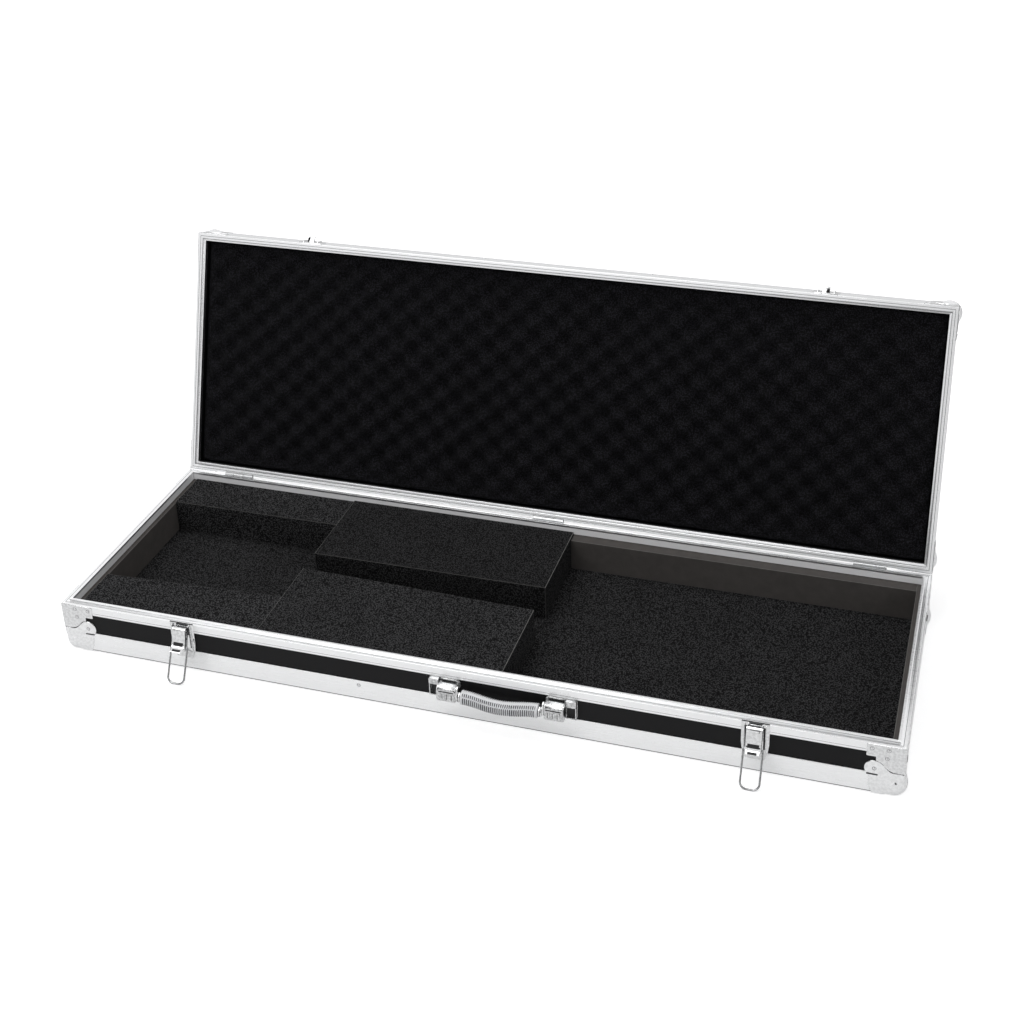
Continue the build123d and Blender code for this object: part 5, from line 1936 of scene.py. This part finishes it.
@dataclass(frozen=True)
class Studio:
    """White floor, soft lights and the camera."""

    camera_mm: tuple[float, float, float] = (672.18, -1901.92, 1473.47)
    right: tuple[float, float, float] = (0.95514296, 0.29495523, -0.0265206)
    down: tuple[float, float, float] = (0.10169409, -0.41077852, -0.90604598)
    forward: tuple[float, float, float] = (-0.27813709, 0.86270645, -0.42234741)
    focal_px: float = 1611.35
    centre_px: tuple[float, float] = (526.43, 313.03)
    width_px: float = 1024.0
    sensor: float = 36.0
    floor_mirrored: float = 0.28
    patches: tuple[tuple[tuple[float, float, float], float, float], ...] = (
        ((0.15, -0.76, 0.632), 0.93, 0.965),
        ((-0.75, -0.45, 0.48), 0.86, 0.93),
        ((0.45, -0.87, 0.2), 0.905, 0.93),
    )

    def build(self) -> None:
        """Make the floor, lights, world and camera."""
        self.floor()
        self.world()
        self.area("key", (-1.6, -2.4, 3.2), (0.0, 0.1, 0.1), 2.4, 40.0)
        self.area("fill", (2.8, -1.4, 1.6), (0.0, 0.1, 0.2), 1.6, 12.0)
        self.area("top", (-0.5, 0.2, 3.0), (0.0, 0.1, 0.0), 1.8, 30.0)
        self.camera()

    def floor(self) -> None:
        """A wide pale plane at the foot of the ball corners, which glows white away from the case."""
        size = 30.0
        z = CASE.floor_z * MM
        mesh = bpy.data.meshes.new("floor")
        corners = [(-size, -size, z), (size, -size, z), (size, size, z), (-size, size, z)]
        mesh.from_pydata(corners, [], [(0, 1, 2, 3)])
        plane = placed("floor", mesh)
        paint = Paint("floor")
        paths = paint.add("ShaderNodeLightPath")
        far = paint.add("ShaderNodeVectorMath", operation="LENGTH")
        paint.feed(paint.mapped((0.5, 1.0, 1.0)), far.inputs[0])
        glow = paint.add(
            "ShaderNodeMapRange", interpolation_type="SMOOTHSTEP", Value=far.outputs["Value"],
            From_Min=0.3, From_Max=0.75, To_Min=0.62, To_Max=1.0,
        )
        direct = paint.maths("MULTIPLY", paths.outputs["Is Camera Ray"], glow.outputs["Result"])
        mirrored = paths.outputs["Is Glossy Ray"]
        material = paint.finished(
            Base_Color=(0.72, 0.72, 0.72, 1.0),
            Roughness=0.9,
            Specular_IOR_Level=0.0,
            Emission_Color=(1.0, 1.0, 1.0, 1.0),
            Emission_Strength=paint.maths("MULTIPLY_ADD", mirrored, self.floor_mirrored, direct),
        )
        mesh.materials.append(material)

    def world(self) -> None:
        """The surround: white to the camera, grey to matt surfaces, and a white tent to shiny ones.

        The tent has soft dark patches on the camera's side. A patch's darkness rises smoothly
        with the cosine of the angle between a direction and the patch's middle.
        """
        world = bpy.data.worlds.new("studio")
        bpy.context.scene.world = world
        world.use_nodes = True
        tree = Tree(world.node_tree)
        dark: bpy.types.NodeSocket | None = None
        for toward, soft, full in self.patches:
            aside = tree.add("ShaderNodeVectorMath", operation="DOT_PRODUCT")
            tree.feed(tree.coordinates.outputs["Generated"], aside.inputs[0])
            tree.feed(toward, aside.inputs[1])
            fade = tree.add(
                "ShaderNodeMapRange", interpolation_type="SMOOTHSTEP", Value=aside.outputs["Value"],
                From_Min=soft, From_Max=full, To_Min=0.0, To_Max=1.0,
            ).outputs["Result"]
            dark = fade if dark is None else tree.maths("MAXIMUM", dark, fade)
        paths = tree.add("ShaderNodeLightPath")
        tent = tree.blend(dark, (0.95, 0.95, 0.955, 1.0), (0.02, 0.02, 0.02, 1.0))
        rest = tree.blend(paths.outputs["Is Glossy Ray"], (0.34, 0.34, 0.345, 1.0), tent)
        seen = tree.blend(paths.outputs["Is Camera Ray"], rest, (1.0, 1.0, 1.0, 1.0))
        background = tree.tree.nodes["Background"]
        tree.feed(seen, background.inputs["Color"])
        tree.feed(1.0, background.inputs["Strength"])

    def area(
        self, name: str, place: Sequence[float], aim: Sequence[float], size: float, power: float
    ) -> None:
        """A square soft light.

        Args:
            name: The light's name.
            place: Where it stands, in metres.
            aim: The point it faces.
            size: Its side, in metres.
            power: Its power in watts.
        """
        data = bpy.data.lights.new(name, "AREA")
        data.shape = "SQUARE"
        data.size = size
        data.energy = power
        light = placed(name, data)
        back = np.array(place) - np.array(aim)
        back /= np.linalg.norm(back)
        side = np.cross((0.0, 0.0, 1.0), back)
        side /= np.linalg.norm(side)
        up = np.cross(back, side)
        light.matrix_world = Matrix(frame_matrix(place, side, up, back).tolist())

    def camera(self) -> None:
        """The camera, at the viewing angle of the picture the case is made from."""
        data = bpy.data.cameras.new("camera")
        data.sensor_width = self.sensor
        data.lens = self.focal_px / self.width_px * self.sensor
        data.shift_x = (self.width_px / 2 - self.centre_px[0]) / self.width_px
        data.shift_y = (self.centre_px[1] - self.width_px / 2) / self.width_px
        data.clip_start = 0.05
        data.clip_end = 100.0
        camera = placed("camera", data)
        place = [value * MM for value in self.camera_mm]
        up = [-value for value in self.down]
        back = [-value for value in self.forward]
        camera.matrix_world = Matrix(frame_matrix(place, self.right, up, back).tolist())
        bpy.context.scene.camera = camera


def main() -> None:
    """Build the case and its studio in order."""
    logging.basicConfig(level=logging.INFO)
    scene = bpy.context.scene
    scene.view_settings.view_transform = "Standard"
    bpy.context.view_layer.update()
    finishes = Finishes()
    parts: list[tuple[str, Callable[[], None]]] = [
        ("shell", Shell(finishes).build),
        ("lines", ShadeLines(finishes).build),
        ("corners", Corners(finishes).build),
        ("hinges", Hinges(finishes).build),
        ("left latch", Latch(Side.LEFT, finishes).build),
        ("right latch", Latch(Side.RIGHT, finishes).build),
        ("handle", Handle(finishes).build),
        ("lining", Lining(finishes).build),
        ("rivets", Rivets(finishes).build),
        ("studio", Studio().build),
    ]
    for label, build in parts:
        LOG.info("building %s", label)
        build()


if __name__ == "__main__":
    main()
